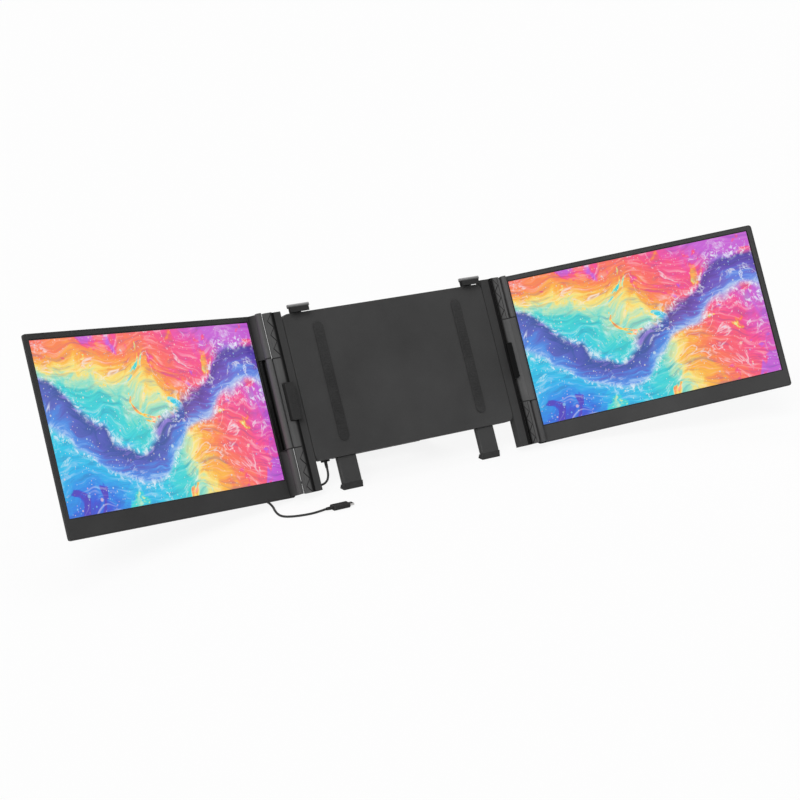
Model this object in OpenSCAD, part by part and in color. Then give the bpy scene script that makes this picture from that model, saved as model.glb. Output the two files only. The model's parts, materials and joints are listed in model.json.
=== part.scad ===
// Screen extender for a laptop: two hinged side monitors carried by telescoping
// wings, a centre housing that hangs on the laptop's lid, and a folding kickstand.
// Millimetres. +Z up, +X to the viewer's right, +Y away from the viewer, Z = 0 is the desk.

/* [Pose] */
// Angle that the lid and the whole extender lean back from upright
lean = 25.4; // [15:0.1:32]
// Angle that each side monitor is folded towards the viewer
fold = 19.5; // [12:0.1:40]
// Height of the lid's lower edge line above the desk
rest_height = 22.6; // [22:0.1:27]

/* [Side monitors] */
// Width of the picture area
screen_w = 344.2; // [300:0.1:360]
// Height of the picture area
screen_h = 193.6; // [170:0.1:196]
// Bezel beside the picture, at the free edge
bezel_outer = 8.6; // [6:0.1:14]
// Bezel above the picture
bezel_top = 7.3; // [6:0.1:14]
// Bezel below the picture
chin = 23.3; // [20:0.1:26]
// Strip beside the picture that carries the hinge
hinge_strip = 13.5; // [13:0.1:16]
// Thickness of a monitor
monitor_t = 7; // [6.8:0.1:7.2]
// Thickness of the thin edge in front of the back bevel
edge_t = 2; // [1.5:0.1:2.5]
// Width of the bevel round the back
bevel_w = 9; // [6:0.1:12]
// Corner radius of a monitor
corner_r = 4; // [3:0.1:6]
// Wall of the back cover
cover_wall = 1.3; // [1:0.05:1.5]
// Thickness of the front bezel sheet
bezel_t = 1; // [0.8:0.05:1.1]
// Thickness of the screen glass
glass_t = 1.2; // [1:0.05:1.3]
// Thickness of the backlight stack
backlight_t = 1.9; // [1.5:0.05:2]
// Distance of the outer button from the free edge
button_edge = 42.8; // [30:0.1:60]
// Distance between the two buttons
button_pitch = 20; // [14:0.5:30]
// Radius of a button
button_r = 3; // [2.5:0.1:3.5]

/* [Fold hinges] */
// Distance of each hinge axis from the middle plane
hinge_x = 186; // [185:0.1:188]
// Depth of the left hinge axis, further forward so that this monitor closes over the other
left_axis_y = 0; // [-0.4:0.1:0.2]
// Depth of the right hinge axis behind the lid's front
right_axis_y = 4; // [3.6:0.1:4.4]
// Radius of the monitor's hinge barrels
barrel_r = 3.9; // [3.7:0.1:4.3]
// Radius of the wing's middle barrel
middle_barrel_r = 3.8; // [3.6:0.1:4.2]
// Radius of the fixed shield behind the middle barrel
shield_r = 9.5; // [9:0.1:9.7]
// Thickness of that shield
shield_t = 1.1; // [1:0.05:1.3]
// Length of each end barrel
barrel_len = 55.5; // [40:0.1:60]
// Axial gap between barrels
barrel_gap = 0.4; // [0.3:0.05:0.6]
// Radius of the steel hinge pins
pin_r = 1.7; // [1.5:0.05:1.8]
// Radial clearance of a turning pin
pin_play = 0.05; // [0.02:0.01:0.09]
// Wall of the friction bush round a pin
bush_wall = 0.85; // [0.7:0.05:0.95]
// Depth to which a pin reaches into a monitor barrel
pin_reach = 46; // [30:0.5:50]

/* [Wings] */
// Distance of the post's inner face from the middle plane
post_x0 = 165.6; // [165.4:0.1:166]
// Distance of the post's outer face from the middle plane
post_x1 = 178.9; // [178.5:0.1:179.2]
// Depth of the post's front face
post_front = 2.5; // [2:0.1:3]
// Thickness of the post's front covers
cover_t = 1.7; // [1.4:0.1:2]
// Distance of the wing plate's inner edge from the middle plane
plate_x0 = 151; // [151:0.1:154]
// Width of the post's back face beyond its inner face
post_back_w = 4; // [3:0.1:4.5]
// Lower end of a wing
wing_bottom = -13; // [-14:0.1:-10]
// Upper end of a wing
wing_top = 209.5; // [206:0.1:209.8]
// Length of each patterned end cover
end_cover_len = 56; // [45:0.5:60]
// Height of one turn of the zigzag engraved in the end covers
zigzag_pitch = 17; // [14:0.5:18]
// Width of that zigzag
zigzag_w = 6.7; // [5:0.1:7]
// Depth of its lines
zigzag_depth = 0.35; // [0.2:0.05:0.5]
// Height of a side clip
clip_h = 46; // [36:0.5:56]
// Height of the clip's middle
clip_z = 98.4; // [94:0.1:102]
// Inner edge of the clip's lip
clip_x0 = 161; // [160:0.1:162.5]
// Outer edge of the clip
clip_x1 = 174; // [172:0.1:175]
// Outer edge of the right clip, which sits closer to the lid
right_clip_x1 = 169.8; // [169:0.1:172]
// Distance that the clip's front stands before the lid
clip_front = 3; // [2.4:0.1:3.4]
// Gap round the clip in its slot
clip_gap = 0.9; // [0.5:0.1:1.5]
// Travel of a wing out of the housing
wing_travel = 30; // [10:1:30]

/* [Centre housing] */
// Half width of the housing
housing_x = 150; // [149:0.1:150]
// Lower edge of the housing
housing_z0 = 22; // [20:0.5:26]
// Upper edge of the housing
housing_z1 = 205; // [200:0.5:206]
// Depth of the housing's front face
housing_y0 = 7; // [6.8:0.1:7.2]
// Depth of the housing's back face
housing_y1 = 17.2; // [17:0.1:17.6]
// Wall of the housing
housing_wall = 1.4; // [1.2:0.1:1.5]
// Distance of the housing's pads from the middle plane
pad_x = 104; // [90:1:110]
// Width of a pad
pad_w = 14; // [10:1:18]
// Thickness of the rubber pads behind the lid
pad_t = 1.8; // [1.2:0.1:1.8]
// Height of a telescoping arm
arm_h = 18; // [12:0.5:22]
// Thickness of a telescoping arm
arm_t = 4.2; // [3.6:0.1:4.3]
// Inner end of an arm
arm_x0 = 40; // [30:1:60]
// Height of the lower arms
arm_low_z = 45; // [42:0.5:60]
// Height of the upper arms
arm_high_z = 165; // [140:0.5:172]
// Clearance of a sliding piece
slide_gap = 0.35; // [0.3:0.05:0.5]

/* [Top hooks] */
// Distance of a hook's middle from the middle plane
hook_x = 129; // [100:0.5:130]
// Width of a hook's cap
hook_w = 29; // [27:0.5:32]
// Width of a hook's front lip
lip_w = 26; // [22:0.5:26]
// Underside of the cap
hook_z0 = 210.6; // [210.2:0.1:212]
// Top of the cap
hook_z1 = 214.6; // [214:0.1:216]
// Depth of the cap's back edge behind the lid's front
cap_y1 = 4.8; // [4:0.1:6]
// Lower end of the front lip
lip_z = 204.5; // [203:0.1:206]
// Thickness of the front lip
lip_t = 2.2; // [1.8:0.1:2.4]
// Width of the sliding stem
stem_w = 16; // [12:0.5:20]
// Thickness of the sliding stem
stem_t = 2.1; // [1.8:0.1:2.2]

/* [Kickstand] */
// Height of the kickstand's pivot up the housing
stand_z = 92; // [84:0.5:98]
// Depth of the kickstand's pivot
stand_y = 20.7; // [20.7:0.1:22]
// Distance from the pivot to the foot roll
stand_reach = 108; // [104:0.5:116]
// Half width of the kickstand plate
stand_x = 80; // [60:0.5:82]
// Thickness of the kickstand plate
stand_t = 3; // [2.5:0.1:3.2]
// Radius of the rubber foot roll
foot_r = 3; // [2.6:0.1:3.2]
// Radius of the kickstand's pivot pins
stand_pin_r = 1.5; // [1.2:0.05:1.6]

/* [Cable] */
// Diameter of the cable
cable_d = 2.8; // [2.4:0.1:2.8]
// Radius of the coil at the middle of its turns
coil_r = 15.6; // [14:0.1:17]
// Distance of the laptop plug's grip from the middle plane
plug_x = 146; // [140:0.5:150]
// Length of a plug's grip
grip_len = 22; // [18:0.5:26]
// Half width of a plug's grip
grip_w = 6; // [5.4:0.1:6.6]
// Half thickness of a plug's grip
grip_t = 3; // [2.7:0.1:3.2]
// Half width of a plug's metal tip
tip_w = 4.12; // [4.05:0.01:4.16]
// Half thickness of a plug's metal tip
tip_t = 1.22; // [1.18:0.01:1.26]
// Length of a plug's metal tip
tip_len = 6.5; // [6:0.1:6.8]

/* [Hidden] */
$fn = 48;
eps = 0.02;
seat = 0.02;
inner_w0 = -3.5;
screen_x0 = inner_w0 + hinge_strip;
screen_z0 = 8.68;
monitor_x1 = screen_x0 + screen_w + bezel_outer;
monitor_z0 = screen_z0 - chin;
monitor_z1 = screen_z0 + screen_h + bezel_top;
// The line where each monitor's front plane starts, in the lid's frame
screen_line_x = 187.9;
screen_line_y = 12.65;
cavity_x0 = 7.6;
cavity_depth = monitor_t - cover_wall;
barrel_low_z1 = wing_bottom + barrel_len;
barrel_high_z0 = wing_top - barrel_len;
bush_r = pin_r + pin_play + bush_wall;
bush_len = 42;
ledge_x1 = 6.25;
ledge_y = 3;
post_body_y = post_front + cover_t + 0.1;
arm_y0 = housing_y1 - housing_wall - 0.4 - arm_t;
arm_fixed_x = post_x0 + 1.4;
wing_screw_x = plate_x0 + 9;
arm_stop = 4;
arm_rows = [arm_low_z, arm_high_z];
guide_x0 = arm_x0 + arm_stop + wing_travel + 2;
split_y = arm_y0 - 0.25;
stem_y0 = housing_y0 + housing_wall + 0.2;
stem_z0 = 150;
boss_zm = (arm_low_z + arm_high_z) / 2;
boss_points = [
    [-20, housing_z0 + 10], [20, housing_z0 + 10], [-20, housing_z1 - 9],
    [20, housing_z1 - 9], [8 - housing_x, boss_zm], [housing_x - 8, boss_zm]
];
hub_x = [-146, -86];
hub_z = [42, 104];
hub_depth = 8.4;
port_xs = [-130, -112];
stand_knuckles = [40, 59.7];
stand_bracket_x = [60, 72];
leg_x = [92, 118];
leg_y = [10, 17];
button_xs = [monitor_x1 - button_edge - button_pitch, monitor_x1 - button_edge];
button_z = monitor_z0 + 16.62;
screw_inset = 10.5;
monitor_screws = [wing_bottom + 2 * screw_inset, barrel_low_z1 - screw_inset,
    barrel_high_z0 + screw_inset, wing_top - 2 * screw_inset];
board_x0 = screen_x0 + screen_w / 7;
board_len = screen_w / 2;
vent_count = 14;
vent_pitch = 7;
vent_x0 = screen_x0 + screen_w / 4;
vent_z0 = monitor_z1 - 60;
charcoal = [0.24, 0.24, 0.25];
dark = [0.13, 0.13, 0.135];
graphite = [0.33, 0.33, 0.34];
steel = [0.72, 0.73, 0.75];
rubber = [0.08, 0.08, 0.085];

// Points of the lid's frame in the part's frame, before the origin is set
function raw_y(p) = p.y * cos(lean) + p.z * sin(lean);
function raw_z(p) = rest_height - p.y * sin(lean) + p.z * cos(lean);
function on_desk(p) = [raw_y(p) + origin_y, raw_z(p)];
stand_pivot = [0, stand_y, stand_z];
stand_slope = acos((raw_z(stand_pivot) - foot_r) / stand_reach);
stand_open = stand_slope + lean;
back_reach = raw_y(stand_pivot) + stand_reach * sin(stand_slope) + foot_r;
corner_mid_y = screen_line_y - (monitor_x1 - corner_r) * sin(fold);
corner_y = raw_y([0, corner_mid_y, monitor_z0 + corner_r]);
corner_step = corner_r * sqrt(pow(sin(fold) * cos(lean), 2) + pow(sin(lean), 2));
front_reach = corner_y - corner_step;
origin_y = -(back_reach + front_reach) / 2;

coil_at = [-202, 62, 0];
plug_y = -53;
plug_z = grip_t + 0.1;
plug_end = -plug_x - grip_len - 9;

// Cable route, from the hub's plug to the coil and from the coil to the laptop's plug
route_in = [
    [-130, 19.5, 26.2], [-130, 17.3, 21.5], [-130.3, 15.8, 15.5], [-131.5, 16.4, 9.5],
    [-134, 19.6, 4.8], [-137.6, 25.0, 2.0], [-142, 33.0, 1.4], [-147, 43.0, 1.4],
    [-154, 54.0, 1.4], [-163, 65.0, 1.4], [-174, 73.5, 1.4], [-187, 78.6, 1.4],
    [-202, 80.5, 1.5]
];
route_out = [
    [-220.6, 62.0, 4.4], [-220.6, 52.0, 3.8], [-220.6, 42.0, 2.2], [-220.5, 33.0, 1.5],
    [-220.3, 22.0, 1.4], [-220.0, 10.0, 1.4], [-220.6, 2.0, 1.4], [-223.4, -9.5, 1.4],
    [-227.6, -21.0, 1.4], [-230.2, -31.0, 1.4], [-230.6, -39.0, 1.4], [-227.4, -44.6, 1.4],
    [-221.0, -48.4, 1.4], [-213.0, -50.8, 1.4], [-204.0, -52.2, 1.4], [-194.5, -52.8, 1.5],
    [-185.0, -53.0, 2.2], [plug_end, plug_y, plug_z]
];

// ---------- frames and helpers ----------

// The lid's frame: x across, y behind the lid's front, z up the lid
module lid_frame() {
    translate([0, origin_y, rest_height]) rotate([-lean, 0, 0]) children();
}

// The same on either side, with x measured outwards
module on_side(s) {
    mirror([s < 0 ? 1 : 0, 0, 0]) children();
}

module wing_frame(s) {
    lid_frame() on_side(s) children();
}

// A monitor's frame: x outwards along the screen, y behind its front, z up
module monitor_frame(s) {
    wing_frame(s)
        translate([screen_line_x, screen_line_y, 0])
            rotate([0, 0, -fold])
                children();
}

// The kickstand's frame: its pivot, with the plate hanging down -z
module stand_frame() {
    lid_frame() translate(stand_pivot) rotate([stand_open, 0, 0]) children();
}

module block(low, high) {
    translate(low) cube(high - low);
}

module along_x(x0, x1) {
    translate([x0, 0, 0]) rotate([90, 0, 90]) linear_extrude(x1 - x0) children();
}

module along_y(y0, y1) {
    translate([0, y1, 0]) rotate([90, 0, 0]) linear_extrude(y1 - y0) children();
}

module along_z(z0, z1) {
    translate([0, 0, z0]) linear_extrude(z1 - z0) children();
}

module round_rect(low, high, r) {
    translate([low.x + r, low.y]) square([high.x - low.x - 2 * r, high.y - low.y]);
    translate([low.x, low.y + r]) square([high.x - low.x, high.y - low.y - 2 * r]);
    for (x = [low.x + r, high.x - r], y = [low.y + r, high.y - r])
        translate([x, y]) circle(r);
}

// Cylinder along y between two depths, standing at [x, z]
module pin_y(at, r, y0, y1) {
    translate([at.x, y1, at.y]) rotate([90, 0, 0]) cylinder(r = r, h = y1 - y0);
}

module pin_x(at, r, x0, x1) {
    translate([x0, at.x, at.y]) rotate([0, 90, 0]) cylinder(r = r, h = x1 - x0);
}

function axis_y(s) = s < 0 ? left_axis_y : right_axis_y;
function clip_end(s) = s < 0 ? clip_x1 : right_clip_x1;

// Where the fold axis lies in the monitor's frame
function axis_in_monitor(s) =
    let (dx = hinge_x - screen_line_x, dy = axis_y(s) - screen_line_y)
    [dx * cos(fold) - dy * sin(fold), dx * sin(fold) + dy * cos(fold)];

// Point where a line from p touches the outer side of a circle
function tangent(p, c, r) =
    let (v = c - p, d = norm(v), a = asin(r / d), t = sqrt(d * d - r * r))
    p + t / d * [v.x * cos(a) + v.y * sin(a), -v.x * sin(a) + v.y * cos(a)];

// The same on the circle's front side
function touch(p, c, r) =
    let (v = c - p, d = norm(v), a = asin(r / d), t = sqrt(d * d - r * r))
    p + t / d * [v.x * cos(a) + v.y * sin(a), v.y * cos(a) - v.x * sin(a)];

// ---------- monitor pieces ----------

// Outer form of a monitor, thinner by a wall all round
module monitor_form(wall, x0, y0) {
    x1 = monitor_x1 - wall;
    z0 = monitor_z0 + wall;
    z1 = monitor_z1 - wall;
    t = monitor_t - wall;
    b = bevel_w + wall / 3;
    intersection() {
        along_y(y0, t) round_rect([x0, z0], [x1, z1], corner_r - wall);
        along_z(z0 - 1, z1 + 1)
            polygon([[x0, y0 - 1], [x1, y0 - 1], [x1, edge_t], [x1 + wall - b, t], [x0, t]]);
        along_x(x0 - 1, x1 + 1)
            polygon([[y0 - 1, z0], [edge_t, z0], [t, z0 - wall + b], [t, z1 + wall - b],
                [edge_t, z1], [y0 - 1, z1]]);
    }
}

module back_cover(s) {
    color(charcoal) monitor_frame(s) difference() {
        monitor_form(0, inner_w0, 0);
        monitor_form(cover_wall, cavity_x0, -1);
        block([inner_w0 - 1, -1, barrel_low_z1 - 0.1],
            [ledge_x1, ledge_y, barrel_high_z0 + 0.1]);
        for (z = [[monitor_z0 - 1, barrel_low_z1], [barrel_high_z0, monitor_z1 + 1]])
            block([inner_w0 - 1, -1, z[0]], [cavity_x0 + eps, bezel_t, z[1]]);
        for (z = monitor_screws) {
            pin_y([2.2, z], 1.1, 0, monitor_t + 1);
            pin_y([2.2, z], 2, monitor_t - 0.9, monitor_t + 1);
        }
        for (x = button_xs)
            pin_y([x, button_z], button_r + 0.3, cavity_depth - 1, monitor_t + 1);
        for (i = [0:vent_count - 1])
            block([vent_x0 + vent_pitch * i, cavity_depth - 1, vent_z0],
                [vent_x0 + vent_pitch * i + 2.4, monitor_t + 1, vent_z0 + 18]);
    }
}

module front_bezel(s) {
    g = cover_wall + 0.1;
    color(graphite) monitor_frame(s) difference() {
        along_y(0.05, bezel_t)
            round_rect([cavity_x0 + 0.1, monitor_z0 + g], [monitor_x1 - g, monitor_z1 - g], 2.4);
        block([screen_x0, -1, screen_z0],
            [screen_x0 + screen_w, 2, screen_z0 + screen_h]);
    }
}

module screen(s) {
    color("midnightblue") monitor_frame(s)
        block([screen_x0 - 1.6, bezel_t + 0.1, screen_z0 - 2],
            [screen_x0 + screen_w + 2, bezel_t + 0.1 + glass_t, screen_z0 + screen_h + 2]);
}

module backlight(s) {
    y0 = bezel_t + 0.2 + glass_t;
    color("white") monitor_frame(s)
        block([screen_x0 - 1.6, y0, screen_z0 - 2],
            [screen_x0 + screen_w - 2, y0 + backlight_t, screen_z0 + screen_h - 2]);
}

module driver_board(s) {
    color("darkgreen") monitor_frame(s) {
        block([board_x0, 2.2, monitor_z0 + 5],
            [board_x0 + board_len, 3.4, screen_z0 - 3.4]);
        for (x = [0.1, 0.33, 0.56, 0.79])
            block([board_x0 + board_len * x, 3.4, monitor_z0 + 8],
                [board_x0 + board_len * (x + 0.08), 4.6, monitor_z0 + 16]);
    }
}

// Barrel on a flank that rises from the monitor's inner strip
module hinge_block(s, z0, z1) {
    c = axis_in_monitor(s);
    foot = [cavity_x0 - 0.2, bezel_t];
    flank = tangent(foot, c, barrel_r);
    inner = c.x - barrel_r;
    along_z(z0, z1) {
        translate(c) circle(barrel_r);
        polygon([[inner_w0, bezel_t], foot, flank, c, [inner, c.y], [inner, c.y + 3],
            [inner_w0, c.y + 6]]);
    }
}

module hinge_blocks(s) {
    c = axis_in_monitor(s);
    color(graphite) monitor_frame(s) difference() {
        union() {
            hinge_block(s, wing_bottom, barrel_low_z1 - barrel_gap / 2);
            hinge_block(s, barrel_high_z0 + barrel_gap / 2, wing_top);
        }
        translate([c.x, c.y, barrel_low_z1 - pin_reach])
            cylinder(r = pin_r + seat, h = barrel_high_z0 - barrel_low_z1 + 2 * pin_reach);
        for (z = monitor_screws)
            pin_y([2.2, z], 1 + seat, bezel_t - 4.5, bezel_t + 1);
    }
}

module hinge_pins(s) {
    c = axis_in_monitor(s);
    color(steel) monitor_frame(s) {
        translate([c.x, c.y, barrel_low_z1 - pin_reach])
            cylinder(r = pin_r, h = pin_reach + bush_len);
        translate([c.x, c.y, barrel_high_z0 - bush_len])
            cylinder(r = pin_r, h = pin_reach + bush_len);
    }
}

module monitor_screw_set(s) {
    color("dimgray") monitor_frame(s) for (z = monitor_screws) {
        pin_y([2.2, z], 1, bezel_t - 4.3, monitor_t - 0.5);
        pin_y([2.2, z], 1.9, monitor_t - 0.88, monitor_t);
    }
}

module button(s, x) {
    color(dark) monitor_frame(s) {
        pin_y([x, button_z], button_r, 4.4, monitor_t + 0.3);
        pin_y([x, button_z], button_r + 1.2, 4.4, cavity_depth - 0.35);
    }
}

// ---------- wing pieces ----------

// Section of the post and the plate behind the lid
module column_section() {
    post_back_x = post_x0 + post_back_w;
    polygon([
        [post_x0, post_body_y], [post_x1 - 0.2, post_body_y], [post_back_x, housing_y1],
        [plate_x0, housing_y1], [plate_x0, housing_y0], [post_x0, housing_y0]
    ]);
}

// Barrel between the monitor's two, on a neck. On the left the neck leaves a groove
// beside the post, and on the right it runs flush from the cover to the barrel.
module middle_knuckle(s) {
    a = axis_y(s);
    c = [hinge_x, a];
    along_z(barrel_low_z1 + barrel_gap / 2, barrel_high_z0 - barrel_gap / 2) {
        translate(c) circle(middle_barrel_r);
        root_x = post_x1 - 7.2;
        polygon([[root_x, post_body_y + 1], [post_x1 - 0.6, post_body_y + 0.3],
            [hinge_x, a + 0.5], [hinge_x, a + 3.6], [root_x, housing_y0 + 3]]);
        if (s > 0) {
            p = [post_x1 + 0.1, post_front + 0.1];
            polygon([p, touch(p, c, middle_barrel_r - 0.02), c,
                [post_x1 + 0.1, post_body_y + 1.4]]);
        }
        hinge_shield(a);
    }
}

// Fixed wall behind the barrel that closes the view through the hinge
module hinge_shield(a) {
    mid_r = shield_r - shield_t / 2;
    inward = acos((post_body_y + 0.7 - a) / mid_r);
    x0 = hinge_x - mid_r * sin(inward);
    intersection() {
        translate([hinge_x, a]) difference() {
            circle(shield_r);
            circle(shield_r - shield_t);
        }
        polygon([[hinge_x, a], [hinge_x - 20 * sin(inward), a + 20 * cos(inward)],
            [hinge_x - 12, a + 20], [hinge_x + 12, a + 20],
            [hinge_x + 20 * sin(62), a + 20 * cos(62)]]);
    }
    polygon([[post_x1 - 4, post_body_y + 0.3], [x0, post_body_y + 0.3],
        [x0 + 0.5, post_body_y + 1.1], [post_x1 - 4, post_body_y + 2.9]]);
}

module column(s) {
    color(charcoal) wing_frame(s) difference() {
        union() {
            along_z(wing_bottom, wing_top) column_section();
            middle_knuckle(s);
        }
        translate([hinge_x, axis_y(s), barrel_low_z1 - 1])
            cylinder(r = bush_r + seat, h = barrel_high_z0 - barrel_low_z1 + 2);
        for (z = arm_rows) {
            block([plate_x0 - 1, arm_y0 - 0.05, z - arm_h / 2 - 0.05],
                [arm_fixed_x + 0.1, arm_y0 + arm_t + 0.05, z + arm_h / 2 + 0.05]);
            for (dz = [-5, 5]) {
                pin_y([wing_screw_x, z + dz], 1.3, arm_y0 - 2.4, housing_y1 + 1);
                pin_y([wing_screw_x, z + dz], 2.6, housing_y1 - 1.2, housing_y1 + 1);
            }
        }
    }
}

module wing_screws(s) {
    color("dimgray") wing_frame(s) for (z = arm_rows, dz = [-5, 5]) {
        pin_y([wing_screw_x, z + dz], 1.25, arm_y0 - 2.2, housing_y1 - 1);
        pin_y([wing_screw_x, z + dz], 2.5, housing_y1 - 1.15, housing_y1 - 0.05);
    }
}

// Outline of the post's face with a round outer corner at its free end
module cover_outline(z0, z1, top) {
    r = 3;
    zc = top ? z1 - r : z0 + r;
    difference() {
        translate([post_x0, z0]) square([post_x1 - post_x0, z1 - z0]);
        translate([post_x1 - r, top ? zc : z0 - 1]) square([r + 1, r + 1]);
    }
    translate([post_x1 - r, zc]) circle(r);
}

// Zigzag of fine lines whose outer turns start at z0 + first, and a line beside it
module zigzag(z0, z1, first) {
    half = zigzag_pitch / 2;
    xm = post_x0 + 1.7 + zigzag_w / 2;
    long = norm([zigzag_w, half]);
    tilt = atan(zigzag_w / half);
    for (i = [0:2], e = [-1, 1]) {
        z = z0 + first + i * zigzag_pitch;
        if (z + e * half > z0 + 1 && z + e * half < z1 - 1)
            translate([xm, post_front, z + e * half / 2]) rotate([0, -e * tilt, 0])
                cube([0.5, 2 * zigzag_depth, long], center = true);
    }
    block([xm + zigzag_w / 2 + 0.5, post_front - 1, z0 + 1.2],
        [xm + zigzag_w / 2 + 1.1, post_front + zigzag_depth, z1 - 1.2]);
}

module end_covers(s) {
    color(graphite) wing_frame(s) for (top = [false, true]) {
        z0 = top ? wing_top - end_cover_len : wing_bottom;
        z1 = top ? wing_top : wing_bottom + end_cover_len;
        difference() {
            along_y(post_front, post_front + cover_t) cover_outline(z0, z1, top);
            zigzag(z0, z1, top ? 11.5 : 8);
        }
    }
}

module middle_cover(s) {
    z0 = wing_bottom + end_cover_len + 0.15;
    z1 = wing_top - end_cover_len - 0.15;
    slot = clip_h / 2 + clip_gap;
    color(graphite) wing_frame(s) difference() {
        block([post_x0, post_front, z0], [post_x1, post_front + cover_t, z1]);
        block([post_x0 - 1, 0, clip_z - slot],
            [clip_end(s) + clip_gap, post_front + cover_t + 1, clip_z + slot]);
    }
}

// Clip that reaches over the lid's side edge
module side_clip(s) {
    r = 1;
    x1 = clip_end(s);
    seat_y = post_body_y - 0.05;
    color(dark) wing_frame(s) intersection() {
        along_z(clip_z - clip_h / 2, clip_z + clip_h / 2) {
            translate([clip_x0 + r, -clip_front]) square([x1 - clip_x0 - 2 * r, 2.3]);
            translate([clip_x0, r - clip_front]) square([x1 - clip_x0, 2.3 - r]);
            for (x = [clip_x0 + r, x1 - r])
                translate([x, r - clip_front]) circle(r);
            translate([post_x0 + 0.3, -1]) square([x1 - post_x0 - 0.3, 1 + seat_y]);
        }
        along_y(-5, 6)
            round_rect([clip_x0 - 1, clip_z - clip_h / 2], [x1, clip_z + clip_h / 2], 2);
    }
}

module clip_pad(s) {
    color(rubber) wing_frame(s)
        block([clip_x0 + 0.3, 2.35 - clip_front, clip_z - clip_h / 2 + 1],
            [post_x0 - 0.4, 2.95 - clip_front, clip_z + clip_h / 2 - 1]);
}

module arms(s) {
    color(steel) wing_frame(s) for (z = arm_rows) difference() {
        union() {
            block([arm_x0, arm_y0, z - arm_h / 2], [arm_fixed_x, arm_y0 + arm_t, z + arm_h / 2]);
            block([arm_x0, arm_y0, z - arm_h / 2 - 1.4],
                [arm_x0 + arm_stop, arm_y0 + arm_t, z + arm_h / 2 + 1.4]);
        }
        for (dz = [-5, 5])
            pin_y([wing_screw_x, z + dz], 1.3, arm_y0 - 1, arm_y0 + arm_t + 1);
        along_y(arm_y0 - 1, arm_y0 + arm_t + 1)
            round_rect([arm_x0 + 12, z - 3], [housing_x - 10, z + 3], 2.9);
    }
}

module hinge_bushes(s) {
    color("darkgoldenrod") wing_frame(s)
        for (z = [barrel_low_z1 + barrel_gap, barrel_high_z0 - barrel_gap - bush_len])
            translate([hinge_x, axis_y(s), z]) difference() {
                cylinder(r = bush_r, h = bush_len);
                translate([0, 0, -1]) cylinder(r = pin_r + pin_play, h = bush_len + 2);
            }
}

// ---------- centre housing ----------

module housing_outline(inset) {
    round_rect([inset - housing_x, housing_z0 + inset],
        [housing_x - inset, housing_z1 - inset], 8 - inset);
}

module stem_channel(s, gap, y1) {
    block([s * hook_x - stem_w / 2 - gap, housing_y0 + housing_wall, stem_z0 - 1],
        [s * hook_x + stem_w / 2 + gap, y1, housing_z1 + 1]);
}

module front_shell() {
    y_in = housing_y0 + housing_wall;
    color(charcoal) lid_frame() difference() {
        union() {
            difference() {
                along_y(housing_y0, split_y) housing_outline(0);
                along_y(y_in, split_y + 1) housing_outline(2);
            }
            for (p = boss_points) pin_y(p, 3.4, y_in - eps, housing_y1 - housing_wall - 0.1);
            for (s = [-1, 1], e = [-1, 1]) {
                x = s * hook_x + e * (stem_w / 2 + slide_gap + 0.8);
                block([x - 0.8, y_in - eps, stem_z0], [x + 0.8, split_y, housing_z1 - 1]);
            }
        }
        for (p = boss_points) pin_y(p, 1.52, y_in + 0.6, housing_y1);
        for (s = [-1, 1]) stem_channel(s, slide_gap, split_y + 1);
    }
}

module back_shell() {
    y_in = housing_y1 - housing_wall;
    g = slide_gap;
    color(charcoal) lid_frame() difference() {
        along_y(split_y + 0.05, housing_y1) housing_outline(0);
        along_y(split_y - 1, y_in) housing_outline(2);
        for (s = [-1, 1], z = arm_rows)
            block([s > 0 ? 100 : -housing_x - 1, split_y - 1, z - arm_h / 2 - g],
                [s > 0 ? housing_x + 1 : -100, y_in, z + arm_h / 2 + g]);
        for (p = boss_points) {
            pin_y(p, 1.7, y_in - 1, housing_y1 + 1);
            pin_y(p, 3, housing_y1 - 0.9, housing_y1 + 1);
        }
        for (i = [-4:4])
            block([8 * i - 1.7, y_in - 1, housing_z1 - 65],
                [8 * i + 1.7, housing_y1 + 1, housing_z1 - 49]);
    }
}

module shell_screws() {
    color("dimgray") lid_frame() for (p = boss_points) {
        pin_y(p, 1.5, 10, housing_y1 - 0.5);
        pin_y(p, 2.9, housing_y1 - 0.88, housing_y1);
    }
}

module lid_pads() {
    color(rubber) lid_frame() for (x = [-pad_x, pad_x])
        along_y(housing_y0 - pad_t, housing_y0)
            round_rect([x - pad_w / 2, housing_z0 + 18], [x + pad_w / 2, housing_z1 - 15],
                pad_w / 2 - 0.1);
}

module rail_guides() {
    g = slide_gap;
    color("gainsboro") lid_frame() for (s = [-1, 1]) on_side(s)
        for (z = arm_rows, e = [-1, 1]) {
            zm = z + e * (arm_h / 2 + g + 1.5);
            block([guide_x0, arm_y0 - 0.15, zm - 1.5],
                [housing_x - 4, housing_y1 - housing_wall - 0.05, zm + 1.5]);
        }
}

module stand_brackets() {
    color(dark) lid_frame() for (s = [-1, 1]) on_side(s) difference() {
        union() {
            pin_x([stand_y, stand_z], foot_r + 0.2, stand_bracket_x[0], stand_bracket_x[1]);
            block([stand_bracket_x[0], housing_y1 + 0.02, stand_z - 3.2],
                [stand_bracket_x[1], stand_y, stand_z + 8]);
        }
        pin_x([stand_y, stand_z], stand_pin_r + pin_play, 0, 100);
    }
}

// Legs under the housing that stand behind the laptop
module support_legs() {
    color(charcoal) lid_frame() for (s = [-1, 1]) on_side(s)
        block([leg_x[0], leg_y[0], -11], [leg_x[1], leg_y[1], housing_z0 - 0.02]);
}

module leg_feet() {
    color(rubber) for (s = [-1, 1]) on_side(s)
        along_x(leg_x[0] - 1, leg_x[1] + 1)
            polygon([on_desk([0, leg_y[0], -11.02]), on_desk([0, leg_y[1], -11.02]),
                [on_desk([0, leg_y[1], -11]).x + 1.5, 0],
                [on_desk([0, leg_y[0], -11]).x - 1.5, 0]]);
}

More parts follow.
